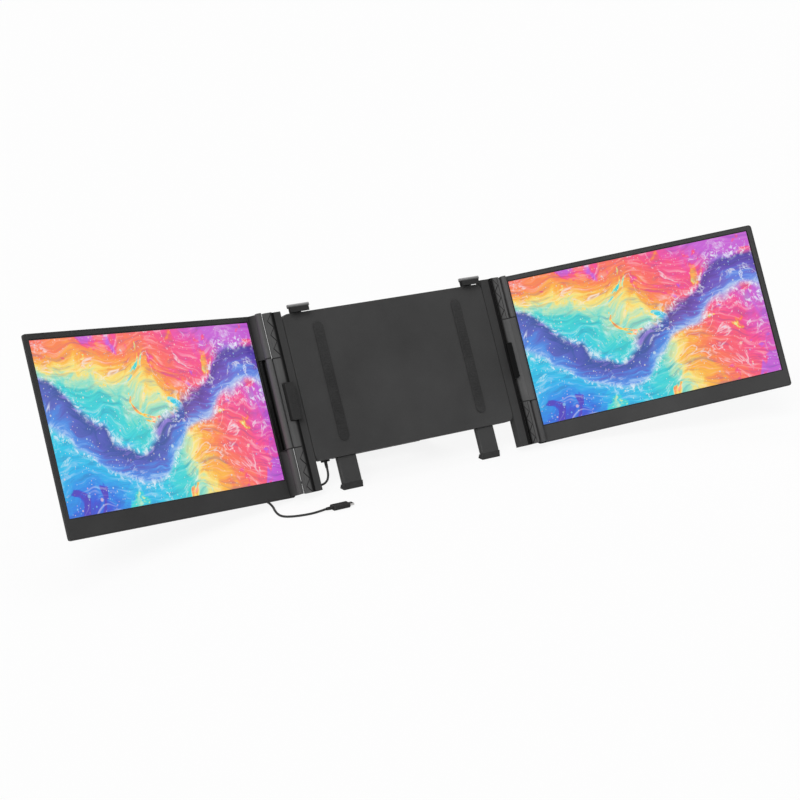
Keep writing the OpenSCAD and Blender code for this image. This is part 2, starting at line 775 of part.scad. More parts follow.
// Signal box on the back with its ports facing down
module hub_box() {
    y0 = housing_y1 + 0.02;
    y1 = housing_y1 + hub_depth;
    color(charcoal) lid_frame() difference() {
        along_y(y0, y1) round_rect([hub_x[0], hub_z[0]], [hub_x[1], hub_z[1]], 4);
        along_y(y0 - 1, y1 - 1.5)
            round_rect([hub_x[0] + 1.6, hub_z[0] + 1.6], [hub_x[1] - 1.6, hub_z[1] - 1.6], 2.4);
        for (x = port_xs) port_form(x, 4.7, 1.85, hub_z[0] - 1, hub_z[0] + 3);
    }
}

// Flat oval that a plug or a port fills
module port_form(x, half_w, half_t, z0, z1) {
    along_z(z0, z1)
        translate([x, port_y()])
            round_rect([-half_w, -half_t], [half_w, half_t], half_t - 0.05);
}

function port_y() = housing_y1 + hub_depth / 2 - 0.2;

module hub_ports() {
    color(steel) lid_frame() for (x = port_xs) difference() {
        port_form(x, 4.65, 1.8, hub_z[0] + 0.2, hub_z[0] + 8);
        port_form(x, 4.3, 1.45, hub_z[0] - 1, hub_z[0] + 7.4);
    }
}

module hub_board() {
    color("darkgreen") lid_frame()
        block([hub_x[0] + 3, housing_y1 + 0.4, hub_z[0] + 3],
            [hub_x[1] - 3, housing_y1 + 1.9, hub_z[1] - 3]);
}

// ---------- top hooks ----------

module hook(s) {
    y_front = -lip_t - 1;
    y_back = stem_y0 + stem_t;
    r = (hook_z1 - hook_z0) / 2;
    color(charcoal) wing_frame(s) translate([hook_x, 0, 0]) {
        block([-stem_w / 2, stem_y0, stem_z0], [stem_w / 2, y_back, hook_z0 + 1]);
        block([-lip_w / 2, y_front, lip_z], [lip_w / 2, -1, hook_z0 + 1]);
        block([-stem_w / 2, 0, hook_z0], [stem_w / 2, y_back, hook_z1 - 0.6]);
        intersection() {
            along_x(-hook_w / 2, hook_w / 2) {
                translate([y_front, hook_z0]) square([cap_y1 - y_front, hook_z1 - hook_z0 - r]);
                translate([y_front + r, hook_z0])
                    square([cap_y1 - y_front - r, hook_z1 - hook_z0]);
                translate([y_front + r, hook_z1 - r]) circle(r);
            }
            along_z(hook_z0 - 1, hook_z1 + 1)
                round_rect([-hook_w / 2, y_front - 1.5], [hook_w / 2, cap_y1], 3);
        }
    }
}

module hook_pad(s) {
    color(rubber) wing_frame(s)
        block([hook_x - lip_w / 2 + 1, -0.98, lip_z + 0.5],
            [hook_x + lip_w / 2 - 1, -0.38, hook_z0 - 0.1]);
}

// ---------- kickstand ----------

module kickstand_plate() {
    color(graphite) stand_frame() difference() {
        union() {
            along_y(-stand_t / 2, stand_t / 2)
                round_rect([-stand_x, -stand_reach - 1.5], [stand_x, -5], 8);
            for (s = [-1, 1]) on_side(s) {
                pin_x([0, 0], foot_r, stand_knuckles[0], stand_knuckles[1]);
                block([stand_knuckles[0], -stand_t / 2, -8], [stand_knuckles[1], stand_t / 2, 0]);
            }
        }
        pin_x([0, 0], stand_pin_r + seat, -100, 100);
        along_y(-5, 5) round_rect([-42, -78], [42, -34], 9);
    }
}

module kickstand_pins() {
    color(steel) stand_frame() for (s = [-1, 1]) on_side(s)
        pin_x([0, 0], stand_pin_r, stand_knuckles[0] + 2, stand_bracket_x[1] - 0.5);
}

module kickstand_foot() {
    color(rubber) stand_frame() difference() {
        pin_x([0, -stand_reach], foot_r, 12 - stand_x, stand_x - 12);
        block([-stand_x, -stand_t / 2 - seat, -stand_reach - 1.55],
            [stand_x, stand_t / 2 + seat, 0]);
    }
}

// ---------- cable ----------

function ring_dir(path, i) =
    let (n = len(path), a = path[max(0, i - 1)], b = path[min(n - 1, i + 1)])
    (b - a) / norm(b - a);

function ring(at, dir, r) =
    let (side = cross([0, 0.3, 1], dir), u = side / norm(side), v = cross(dir, u))
    [for (k = [0:7]) at + r * (cos(45 * k) * u + sin(45 * k) * v)];

// Round tube swept along a list of points
module tube(path, r) {
    n = len(path);
    polyhedron(
        points = [for (i = [0:n - 1]) each ring(path[i], ring_dir(path, i), r)],
        faces = concat(
            [[for (k = [7:-1:0]) k]],
            [for (i = [0:n - 2], k = [0:7]) let (a = 8 * i + k, b = 8 * i + (k + 1) % 8)
                each [[a, b, b + 8], [a, b + 8, a + 8]]],
            [[for (k = [0:7]) 8 * (n - 1) + k]]
        )
    );
}

// Evenly rounded curve through a list of points
function curve_point(p, i, t) =
    let (n = len(p), a = p[max(0, i - 1)], b = p[i], c = p[i + 1], d = p[min(n - 1, i + 2)])
    0.5 * (2 * b + (c - a) * t + (2 * a - 5 * b + 4 * c - d) * t * t
        + (3 * b - a - 3 * c + d) * t * t * t);

function curve(p) = [
    for (i = [0:len(p) - 2], t = [0, 0.5]) curve_point(p, i, t),
    p[len(p) - 1]
];

module cable() {
    color("dimgray") {
        tube(curve(route_in), cable_d / 2);
        tube(curve(route_out), cable_d / 2);
    }
}

module cable_coil() {
    half_w = 1.62 * cable_d;
    color("dimgray") translate(coil_at) rotate_extrude()
        round_rect([coil_r - half_w, 0.02], [coil_r + half_w, 2.14 * cable_d], 1.3);
}

module hub_plug_grip() {
    color(dark) lid_frame() {
        port_form(port_xs[0], grip_w, grip_t, hub_z[0] - grip_len, hub_z[0] - 0.3);
        translate([port_xs[0], port_y(), hub_z[0] - grip_len - 8]) cylinder(r = 2.2, h = 9);
    }
}

module hub_plug_tip() {
    color(steel) lid_frame()
        port_form(port_xs[0], tip_w, tip_t, hub_z[0] - 0.28, hub_z[0] + tip_len - 0.3);
}

module laptop_plug_grip() {
    color(dark) translate([0, plug_y, plug_z]) {
        along_x(-plug_x - grip_len, -plug_x)
            round_rect([-grip_w, -grip_t], [grip_w, grip_t], grip_t - 0.05);
        pin_x([0, 0], 2.2, plug_end, plug_end + 9.5);
    }
}

module laptop_plug_tip() {
    color(steel) translate([0, plug_y, plug_z])
        along_x(seat - plug_x, tip_len - plug_x)
            round_rect([-tip_w, -tip_t], [tip_w, tip_t], tip_t - 0.02);
}

// ---------- nodes ----------

front_shell();
back_shell();
lid_pads();
rail_guides();
shell_screws();
stand_brackets();
support_legs();
leg_feet();
hub_box();
hub_board();
hub_ports();
cable();
cable_coil();
hub_plug_grip();
hub_plug_tip();
laptop_plug_grip();
laptop_plug_tip();
column(-1);  // left_column
end_covers(-1);  // left_end_covers
middle_cover(-1);  // left_middle_cover
side_clip(-1);  // left_side_clip
clip_pad(-1);  // left_clip_pad
arms(-1);  // left_arms
wing_screws(-1);  // left_wing_screws
hinge_bushes(-1);  // left_hinge_bushes
column(1);  // right_column
end_covers(1);  // right_end_covers
middle_cover(1);  // right_middle_cover
side_clip(1);  // right_side_clip
clip_pad(1);  // right_clip_pad
arms(1);  // right_arms
wing_screws(1);  // right_wing_screws
hinge_bushes(1);  // right_hinge_bushes
back_cover(-1);  // left_back_cover
front_bezel(-1);  // left_front_bezel
screen(-1);  // left_screen
backlight(-1);  // left_backlight
driver_board(-1);  // left_driver_board
hinge_blocks(-1);  // left_hinge_blocks
hinge_pins(-1);  // left_hinge_pins
monitor_screw_set(-1);  // left_monitor_screws
back_cover(1);  // right_back_cover
front_bezel(1);  // right_front_bezel
screen(1);  // right_screen
backlight(1);  // right_backlight
driver_board(1);  // right_driver_board
hinge_blocks(1);  // right_hinge_blocks
hinge_pins(1);  // right_hinge_pins
monitor_screw_set(1);  // right_monitor_screws
button(-1, button_xs[0]);  // left_power_button
button(-1, button_xs[1]);  // left_menu_button
button(1, button_xs[0]);  // right_power_button
button(1, button_xs[1]);  // right_menu_button
hook(-1);  // left_hook
hook_pad(-1);  // left_hook_pad
hook(1);  // right_hook
hook_pad(1);  // right_hook_pad
kickstand_plate();
kickstand_pins();
kickstand_foot();
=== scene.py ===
# %% [markdown]
# # A screen extender for a laptop
#
# Two thin side monitors fold on wings that slide out of a centre housing.
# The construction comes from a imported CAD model, which is loaded here as a
# fixed frame. This lesson adds the looks: soft edges, moulded grain, engraved
# covers, screws, plugs, a coiled cable and two lit screens.

# %% Load the frame
import json
import math

import bmesh
import bpy
from mathutils import Matrix, Vector


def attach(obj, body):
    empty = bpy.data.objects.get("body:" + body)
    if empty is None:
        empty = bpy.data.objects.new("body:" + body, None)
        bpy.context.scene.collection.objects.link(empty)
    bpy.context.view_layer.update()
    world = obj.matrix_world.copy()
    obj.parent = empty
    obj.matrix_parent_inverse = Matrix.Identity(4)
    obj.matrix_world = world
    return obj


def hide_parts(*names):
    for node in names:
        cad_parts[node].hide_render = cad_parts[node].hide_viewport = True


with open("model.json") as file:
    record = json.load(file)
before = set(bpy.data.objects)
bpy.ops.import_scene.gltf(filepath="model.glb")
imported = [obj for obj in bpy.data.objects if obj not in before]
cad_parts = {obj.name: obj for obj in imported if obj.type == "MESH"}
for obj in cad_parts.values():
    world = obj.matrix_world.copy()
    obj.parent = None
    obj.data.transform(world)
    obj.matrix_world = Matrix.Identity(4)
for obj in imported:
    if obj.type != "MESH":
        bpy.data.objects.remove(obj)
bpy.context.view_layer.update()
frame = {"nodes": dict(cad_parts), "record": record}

# %% [markdown]
# The object leans back like an opened lid, and each monitor is folded a little
# towards the viewer. Every new piece is drawn in millimetres in the frame of
# the part that it belongs to, where its numbers are round, and one matrix then
# lays it in the shared frame in metres.

# %% Frames of the lid, the wings and the monitors
LEAN = math.radians(25.4)
FOLD = math.radians(19.5)
MM = Matrix.Scale(0.001, 4)
LID = MM @ Matrix.Translation((0, -5.61267, 22.6)) @ Matrix.Rotation(-LEAN, 4, "X")
SIDES = {"left": -1, "right": 1}


def mirror_x(side):
    return Matrix.Diagonal((SIDES[side], 1, 1, 1))


def wing(side):
    return LID @ mirror_x(side)


def monitor(side):
    hinge_line = Matrix.Translation((187.902, 12.649, 0))
    return wing(side) @ hinge_line @ Matrix.Rotation(-FOLD, 4, "Z")


print("lid frame starts at", tuple(round(v, 4) for v in LID.translation))

# %% [markdown]
# ## The camera
#
# A long lens keeps the three panels almost parallel. The camera is placed by
# its angle round the object, its height angle and its distance from a target
# point, with a small roll.

# %% Camera
AZIMUTH, ELEVATION, ROLL = map(math.radians, (-34.566, 16.944, 0.447))
TARGET = Vector((-0.03965, -0.00561, 0.10249))
DISTANCE = 2.322

away = Vector((
    math.sin(AZIMUTH) * math.cos(ELEVATION),
    -math.cos(AZIMUTH) * math.cos(ELEVATION),
    math.sin(ELEVATION),
))
right = Vector((math.cos(AZIMUTH), math.sin(AZIMUTH), 0))
up = away.cross(right)
rolled_right = right * math.cos(ROLL) + up * math.sin(ROLL)
rolled_up = up * math.cos(ROLL) - right * math.sin(ROLL)

lens = bpy.data.cameras.new("camera")
lens.lens = 85.56
lens.sensor_width = 36
lens.clip_end = 100
camera = bpy.data.objects.new("camera", lens)
turn = Matrix((rolled_right, rolled_up, away)).transposed().to_4x4()
camera.matrix_world = Matrix.Translation(TARGET + away * DISTANCE) @ turn
bpy.context.scene.collection.objects.link(camera)
bpy.context.scene.camera = camera
print("camera at", tuple(round(v, 3) for v in camera.matrix_world.translation))

# %% [markdown]
# ## The cable's line
#
# A thin round lead leaves the plug under the signal box, lies in a small coil
# behind the left monitor, and comes forward to the laptop's side port. The
# stretches outside the coil follow points on the desk. The coil has two layers
# of three turns: it winds inwards below, climbs, and winds outwards on top. A
# curve that passes through every point rounds the whole line.

# %% Points of the cable
CABLE_R = 1.4
FROM_HUB = [
    (-130, 19.5, 26.2), (-130, 17.3, 21.5), (-130.3, 15.8, 15.5), (-131.5, 16.4, 9.5),
    (-134, 19.6, 4.8), (-137.6, 25.0, 2.0), (-142, 33.0, 1.42), (-147, 43.0, 1.42),
    (-154, 54.0, 1.42), (-163, 65.0, 1.42), (-174, 73.5, 1.42), (-187, 78.6, 1.42),
]
TO_LAPTOP = [
    (-220.6, 52.0, 3.8), (-220.6, 42.0, 2.2), (-220.5, 33.0, 1.5), (-220.3, 22.0, 1.42),
    (-220.0, 10.0, 1.42), (-220.6, 2.0, 1.42), (-223.4, -9.5, 1.42), (-227.6, -21.0, 1.42),
    (-230.2, -31.0, 1.42), (-230.6, -39.0, 1.42), (-227.4, -44.6, 1.42),
    (-221.0, -48.4, 1.42), (-213.0, -50.8, 1.42), (-204.0, -52.2, 1.42),
    (-194.5, -52.8, 1.5), (-185.0, -53.0, 2.2), (-177.0, -53.0, 3.1),
]
COIL_MIDDLE = (-202.0, 62.0)


def ease(t):
    t = min(1, max(0, t))
    return t * t * (3 - 2 * t)


def coil_points(per_turn=18, turns=5.25, pitch=2.95, radius=15.6):
    """Three turns inwards on the desk, then outwards on top of them."""
    points = []
    for i in range(round(per_turn * turns) + 1):
        turned = 360 * i / per_turn
        inward = ease((turned - 320) / 40) + ease((turned - 680) / 40)
        outward = ease((turned - 1300) / 40) + ease((turned - 1660) / 40)
        r = radius + pitch * (1 - inward + outward)
        z = 1.42 + 2.93 * ease((turned - 980) / 60)
        a = math.radians(90 + turned)
        x, y = COIL_MIDDLE
        points.append((x + r * math.cos(a), y + r * math.sin(a), z))
    return points


def rounded(points, steps):
    """Points on a smooth curve through all the given ones."""
    ends = [points[0], *points, points[-1]]
    line = []
    for a, b, c, d in zip(ends, ends[1:], ends[2:], ends[3:]):
        for k in range(steps):
            t = k / steps
            line.append([
                0.5 * (2 * q + (r - p) * t + (2 * p - 5 * q + 4 * r - s) * t * t
                       + (3 * q - p - 3 * r + s) * t ** 3)
                for p, q, r, s in zip(a, b, c, d)
            ])
    return [*line, list(points[-1])]


cable_line = rounded(FROM_HUB + coil_points() + TO_LAPTOP, 4)
cable_line = [Vector(p) * 0.001 for p in cable_line]

# %% [markdown]
# ## Effects that the finishes share
#
# Moulded plastic is never one flat colour. It has a fine spark-eroded grain,
# slow drifts of tone where the melt flowed, rubbed edges, and smudges that
# change how it shines. Each effect is a shader node group with its own inputs,
# built once here and placed in every finish that needs it. The groups put out
# only colours, masks and values; the shader stays in the finish.

# %% Node helpers
def new_tree(name, takes, gives):
    """A shader group whose sockets are listed as (name, kind, value)."""
    tree = bpy.data.node_groups.new(name, "ShaderNodeTree")
    for label, kind, value in takes:
        socket = tree.interface.new_socket(label, in_out="INPUT", socket_type="NodeSocket" + kind)
        if value is not None:
            socket.default_value = value
    for label, kind in gives:
        tree.interface.new_socket(label, in_out="OUTPUT", socket_type="NodeSocket" + kind)
    return tree, tree.nodes.new("NodeGroupInput").outputs, tree.nodes.new("NodeGroupOutput").inputs


def put(tree, socket, value):
    if isinstance(value, bpy.types.NodeSocket):
        tree.links.new(value, socket)
    else:
        socket.default_value = value


def node(tree, kind, inputs=(), **settings):
    """A node of that kind. inputs are socket values or links, by name or in order."""
    made = tree.nodes.new(kind)
    for key, value in settings.items():
        setattr(made, key, value)
    pairs = inputs.items() if isinstance(inputs, dict) else enumerate(inputs)
    for key, value in pairs:
        if value is not None:
            put(tree, made.inputs[key], value)
    return made


print("helpers:", new_tree.__name__, put.__name__, node.__name__)

# %% [markdown]
# Sums, blends and noise fill every material here, so each gets a one-line call.

# %% Sums, blends and noise
def calc(tree, operation, *values, clamp=False):
    return node(tree, "ShaderNodeMath", values, operation=operation, use_clamp=clamp).outputs[0]


def blend(tree, factor, a, b, mode="MIX"):
    made = node(tree, "ShaderNodeMix", {0: factor, 6: a, 7: b}, data_type="RGBA", blend_type=mode)
    return made.outputs[2]


def noise(tree, vector, scale, detail=2.0, roughness=0.5, distortion=0.0):
    inputs = {"Vector": vector, "Scale": scale, "Detail": detail, "Roughness": roughness,
              "Distortion": distortion}
    return node(tree, "ShaderNodeTexNoise", inputs).outputs["Fac"]


def spread(tree, value, low, high, to_low=0.0, to_high=1.0):
    """value from low..high to to_low..to_high, held at both ends."""
    made = node(tree, "ShaderNodeMapRange", [value, low, high, to_low, to_high])
    return made.outputs[0]


def ramp(tree, value, stops):
    made = node(tree, "ShaderNodeValToRGB", {"Fac": value})
    elements = made.color_ramp.elements
    while len(elements) < len(stops):
        elements.new(0.5)
    for element, (at, colour) in zip(elements, stops):
        element.position = at
        element.color = (*colour, 1)
    return made.outputs["Color"]


print("helpers:", calc.__name__, blend.__name__, noise.__name__, ramp.__name__)

# %% [markdown]
# Colours are written as screen values from 0 to 255. A shader works in linear
# light, so each value is turned into that first.

# %% Colours
def tone(r, g=None, b=None):
    """A display colour, 0 to 255, as the linear colour that a shader takes."""
    parts = (r, r if g is None else g, r if b is None else b)
    return tuple((c / 255 / 12.92) if c <= 10 else ((c / 255 + 0.055) / 1.055) ** 2.4
                 for c in parts)


def mid(a, b, t):
    return tuple(p + (q - p) * t for p, q in zip(a, b))


print("a mid grey is", tuple(round(v, 3) for v in tone(128)))

# %% [markdown]
# The grain of a mould is two noises: a fine one for the pits, and a coarser one
# that lets them cluster. Its height feeds a Bump node in the finish.

# %% Moulded grain
def build_grain():
    takes = [("Size", "Float", 1600.0), ("Drift", "Float", 9.0)]
    tree, given, result = new_tree("moulded grain", takes, [("Height", "Float"), ("Tone", "Float")])
    place = tree.nodes.new("ShaderNodeTexCoord").outputs["Object"]
    pits = noise(tree, place, given["Size"], 3.0, 0.6)
    cluster = noise(tree, place, calc(tree, "MULTIPLY", given["Size"], 0.17), 2.0)
    height = calc(tree, "MULTIPLY_ADD", cluster, 0.5, pits)
    drift = noise(tree, place, given["Drift"], 3.0, 0.55)
    fine = calc(tree, "MULTIPLY", calc(tree, "SUBTRACT", pits, 0.5), 0.6)
    put(tree, result["Height"], height)
    put(tree, result["Tone"], calc(tree, "ADD", drift, fine, clamp=True))
    return tree


GRAIN = build_grain()
print("group:", GRAIN.name)

# %% [markdown]
# Edges rub pale first. Each softened edge carries a value called edge, painted
# on its faces when the mesh is made, and a noise breaks that band up.

# %% Edge wear
def build_wear():
    takes = [("Amount", "Float", 0.5), ("Breaks", "Float", 220.0)]
    tree, given, result = new_tree("edge wear", takes, [("Mask", "Float")])
    edge = node(tree, "ShaderNodeAttribute", attribute_name="edge").outputs["Fac"]
    place = tree.nodes.new("ShaderNodeTexCoord").outputs["Object"]
    broken = spread(tree, noise(tree, place, given["Breaks"], 4.0, 0.65), 0.38, 0.62)
    mask = calc(tree, "MULTIPLY", calc(tree, "MULTIPLY", edge, broken), given["Amount"])
    put(tree, result["Mask"], mask)
    return tree


WEAR = build_wear()
print("group:", WEAR.name)

# %% [markdown]
# Painted shade darkens places where shade falls: cut lines, the foot of a flank, the wall deep in a
# hinge. It is painted with a value called dark. Painted shade that gathers softly along a rim is a
# value called shade, and a painted highlight, a bright band that stands for the reflection on a
# polished cap, is a value called crown. Painted shade is a stand-in for light: it stays where it is
# when a lamp or a piece moves, so it is kept weak and narrow wherever it isn't the true colour of
# the surface.

# %% Painted values
def build_painted():
    tree, _, result = new_tree("painted values", [], [("Dark", "Float"), ("Painted_highlight", "Float")])
    dark, shade, painted_highlight = (node(tree, "ShaderNodeAttribute", attribute_name=name).outputs["Fac"]
                          for name in ("dark", "shade", "painted_highlight"))
    put(tree, result["Dark"], calc(tree, "MAXIMUM", dark, shade, clamp=True))
    put(tree, result["Painted_highlight"], calc(tree, "MINIMUM", painted_highlight, 1.0, clamp=True))
    return tree


PAINTED = build_painted()


def paint_points(mesh, name, value):
    """Writes value(place) on every point of a mesh as the float attribute name."""
    layer = mesh.attributes.get(name) or mesh.attributes.new(name, "FLOAT", "POINT")
    for point, item in zip(mesh.vertices, layer.data):
        item.value = value(point.co)


def paint_faces(bm, name, value):
    """The same on the faces of a bmesh, from each face's middle and normal."""
    layer = bm.faces.layers.float.get(name) or bm.faces.layers.float.new(name)
    bm.normal_update()
    for face in bm.faces:
        face[layer] = value(face.calc_center_median(), face.normal)


print("group:", PAINTED.name)

# %% [markdown]
# Hands leave soft patches, and dust settles in specks. Both change roughness.

# %% Smudges and dust
def build_smudges():
    takes = [("Patches", "Float", 22.0), ("Specks", "Float", 900.0)]
    gives = [("Smudge", "Float"), ("Dust", "Float")]
    tree, given, result = new_tree("smudges and dust", takes, gives)
    place = tree.nodes.new("ShaderNodeTexCoord").outputs["Object"]
    patches = noise(tree, place, given["Patches"], 4.0, 0.6, 1.2)
    put(tree, result["Smudge"], spread(tree, patches, 0.42, 0.68))
    cells = node(tree, "ShaderNodeTexVoronoi", {"Vector": place, "Scale": given["Specks"]})
    near = spread(tree, cells.outputs["Distance"], 0.0, 0.16, 1.0, 0.0)
    some = spread(tree, noise(tree, place, 60.0, 2.0), 0.55, 0.75)
    put(tree, result["Dust"], calc(tree, "MULTIPLY", near, some))
    return tree


SMUDGES = build_smudges()
print("group:", SMUDGES.name)

# %% [markdown]
# ## Finishes
#
# One recipe makes every plastic and rubber: a base colour that drifts a little,
# rubbed edges, smudged roughness and the grain as bump. What differs is the
# colour, the shine, and how coarse and deep the grain is. The metals use their
# own recipe below.

# %% Plastic and rubber
def group(tree, which, **values):
    made = tree.nodes.new("ShaderNodeGroup")
    made.node_tree = which
    for label, value in values.items():
        made.inputs[label].default_value = value
    return made.outputs


def new_material(name):
    made = bpy.data.materials.new(name)
    made.use_nodes = True
    return made, made.node_tree, made.node_tree.nodes["Principled BSDF"]


def plastic(name, grey, rough=0.5, size=1500.0, depth=0.1, drift=0.16, worn=0.35,
            specular=0.2, rubbed=None, painted_highlight=None):
    made, tree, shader = new_material(name)
    colour = tone(*grey) if isinstance(grey, tuple) else tone(grey)
    grain = group(tree, GRAIN, Size=size)
    wear = group(tree, WEAR, Amount=worn)
    smudge = group(tree, SMUDGES)
    dark = (*mid(colour, (0, 0, 0), drift), 1)
    light = (*mid(colour, tone(255), 0.18 * drift), 1)
    base = blend(tree, grain["Tone"], dark, light)
    pale = (*(rubbed or mid(colour, tone(235), 0.12)), 1)
    base = blend(tree, wear["Mask"], base, pale)
    base = blend(tree, calc(tree, "MULTIPLY", smudge["Dust"], 0.25), base, (*tone(190), 1))
    painted = group(tree, PAINTED)
    # A painted highlight: where crown is painted, the colour turns towards the given pale grey.
    if painted_highlight:
        base = blend(tree, painted["Painted_highlight"], base, (*tone(painted_highlight), 1))
    # Painted shade: where dark or shade is painted, the colour turns towards black.
    base = blend(tree, painted["Dark"], base, (0.001, 0.001, 0.001, 1))
    put(tree, shader.inputs["Base Color"], base)
    shine = calc(tree, "MULTIPLY_ADD", smudge["Smudge"], -0.08, rough + 0.03)
    shine = calc(tree, "MULTIPLY_ADD", wear["Mask"], -0.12, shine)
    put(tree, shader.inputs["Roughness"], shine)
    shader.inputs["Specular IOR Level"].default_value = specular
    bump = node(tree, "ShaderNodeBump", {"Strength": 0.35, "Distance": depth * 0.001,
                                         "Height": grain["Height"]})
    put(tree, shader.inputs["Normal"], bump.outputs[0])
    return made


FINISH = {
    "monitor_cover": plastic("monitor cover", 42, 0.52, 1300, 0.10),
    "bezel_plastic": plastic("bezel", 58, 0.6, 1900, 0.06, specular=0.04),
    "wing_plastic": plastic("wing", 84, 0.6, 1500, 0.09, specular=0.04),
    "cover_plastic": plastic("cover", 86, 0.5, 1500, 0.09, specular=0.08),
    "housing_plastic": plastic("housing", 53, 0.55, 1200, 0.12, specular=0.1),
    # The hook's pale grey of 160 is the colour of its painted highlight.
    "hook_plastic": plastic("hook", 34, 0.5, 1500, 0.07, worn=0.3, specular=0.05, painted_highlight=160),
    "dark_plastic": plastic("dark plastic", 39, 0.5, 1700, 0.07, specular=0.06),
    "soft_rubber": plastic("rubber", 30, 0.75, 900, 0.16, 0.3, 0.2, 0.08),
    "cable_sheath": plastic("cable sheath", 44, 0.6, 2600, 0.05, 0.2, 0.0, 0.08),
    "acetal": plastic("acetal", (225, 222, 212), 0.38, 1000, 0.05),
    "diffuser": plastic("diffuser", (235, 236, 238), 0.6, 2500, 0.03),
}
print(len(FINISH), "plastics and rubbers")

# %% [markdown]
# Metal parts were rolled, turned or plated. A stretched noise along one
# direction gives the brushed lines, and heat and oil give slow tints.

# %% Metals
def metal(name, grey, rough, stretch=(1, 1, 30), lines=900.0, tint=(150, 120, 90)):
    made, tree, shader = new_material(name)
    colour = tone(*grey) if isinstance(grey, tuple) else tone(grey)
    place = tree.nodes.new("ShaderNodeTexCoord").outputs["Object"]
    squeezed = node(tree, "ShaderNodeMapping", {"Vector": place, "Scale": stretch})
    brushed = noise(tree, squeezed.outputs[0], lines, 3.0, 0.7)
    smudge = group(tree, SMUDGES, Patches=40.0)
    wear = group(tree, WEAR, Amount=0.5)
    base = blend(tree, brushed, (*mid(colour, (0, 0, 0), 0.25), 1), (*colour, 1))
    oiled = calc(tree, "MULTIPLY", smudge["Smudge"], 0.14)
    base = blend(tree, oiled, base, (*tone(*tint), 1))
    base = blend(tree, wear["Mask"], base, (*mid(colour, tone(250), 0.5), 1))
    put(tree, shader.inputs["Base Color"], base)
    put(tree, shader.inputs["Roughness"], calc(tree, "MULTIPLY_ADD", brushed, 0.16, rough - 0.08))
    shader.inputs["Metallic"].default_value = 1.0
    bump = node(tree, "ShaderNodeBump", {"Strength": 0.25, "Distance": 0.00004,
                                         "Height": brushed})
    put(tree, shader.inputs["Normal"], bump.outputs[0])
    return made


FINISH["bright_steel"] = metal("bright steel", 196, 0.3)
FINISH["black_steel"] = metal("black steel", 70, 0.38, (1, 1, 1), 1500.0, (60, 66, 80))
FINISH["bronze"] = metal("bronze", (190, 142, 84), 0.42, (1, 1, 1), 1800.0, (120, 80, 40))
FINISH["stand_metal"] = metal("stand metal", 92, 0.45, (30, 1, 1), 500.0, (84, 86, 92))
print(len(FINISH), "finishes so far")

# %% [markdown]
# A circuit board is green lacquer over copper tracks. Straight tracks come from
# a brick pattern, and pads from round cells.

# %% Circuit board
def board_finish():
    made, tree, shader = new_material("circuit board")
    place = tree.nodes.new("ShaderNodeTexCoord").outputs["Object"]
    turned = node(tree, "ShaderNodeMapping", {"Vector": place, "Scale": (1, 0, 1)})
    tracks = node(tree, "ShaderNodeTexBrick", {
        "Vector": turned.outputs[0], "Color1": (0, 0, 0, 1), "Color2": (0, 0, 0, 1),
        "Mortar": (1, 1, 1, 1), "Scale": 110.0, "Mortar Size": 0.035, "Brick Width": 0.9,
        "Row Height": 0.22})
    pads = node(tree, "ShaderNodeTexVoronoi", {"Vector": turned.outputs[0], "Scale": 260.0})
    dots = spread(tree, pads.outputs["Distance"], 0.2, 0.26, 1.0, 0.0)
    lacquer = noise(tree, place, 40.0, 3.0)
    green = blend(tree, lacquer, (*tone(16, 62, 38), 1), (*tone(26, 88, 52), 1))
    green = blend(tree, tracks.outputs["Color"], green, (*tone(52, 128, 70), 1))
    put(tree, shader.inputs["Base Color"], blend(tree, dots, green, (*tone(190, 160, 90), 1)))
    put(tree, shader.inputs["Roughness"], spread(tree, lacquer, 0.3, 0.7, 0.25, 0.4))
    bump = node(tree, "ShaderNodeBump", {"Strength": 0.4, "Distance": 0.00005, "Height": dots})
    put(tree, shader.inputs["Normal"], bump.outputs[0])
    return made


FINISH["circuit_board"] = board_finish()
print("finishes:", len(FINISH))

# %% [markdown]
# ## The lit picture
#
# A screen needs something on it. This one is a flow of wet paint: a fan of
# colours round a corner, bent by noise, with strands inside it, a broad indigo
# ribbon laid over it, and drops and splashes of white. It is drawn in the
# panel's own UV map, so it follows the panel when a monitor folds.

# %% Paint flow
PAINT = [
    (0.00, (76, 60, 190)), (0.05, (48, 86, 216)), (0.11, (36, 136, 232)),
    (0.19, (30, 178, 236)), (0.33, (26, 202, 228)), (0.46, (56, 212, 208)),
    (0.51, (166, 226, 190)), (0.545, (250, 228, 120)), (0.585, (252, 182, 60)),
    (0.64, (252, 132, 72)), (0.72, (250, 92, 104)), (0.86, (246, 70, 146)),
    (1.00, (200, 92, 212)),
]


def sheet_place(tree, aspect):
    """The UV map with square units, its bends, and the bent place itself."""
    uv = node(tree, "ShaderNodeUVMap", uv_map="UVMap").outputs[0]
    flat = node(tree, "ShaderNodeVectorMath", [uv, (aspect, 1, 1)], operation="MULTIPLY").outputs[0]
    inputs = {"Vector": flat, "Scale": 1.5, "Detail": 3.0, "Roughness": 0.5}
    bends = node(tree, "ShaderNodeTexNoise", inputs).outputs["Color"]
    pushed = node(tree, "ShaderNodeVectorMath", [bends, (0.5, 0.5, 0.5)], operation="SUBTRACT")
    pushed = node(tree, "ShaderNodeVectorMath", [pushed.outputs[0], (0.62, 0.62, 0)],
                  operation="MULTIPLY")
    bent = node(tree, "ShaderNodeVectorMath", [flat, pushed.outputs[0]], operation="ADD")
    return flat, bent.outputs[0]


print("paint colours:", len(PAINT))

# %% [markdown]
# The flow itself: broad bands of colour bent by noise, a dark ribbon across
# them with foam at its rim, fine strokes, and drops of three sizes.

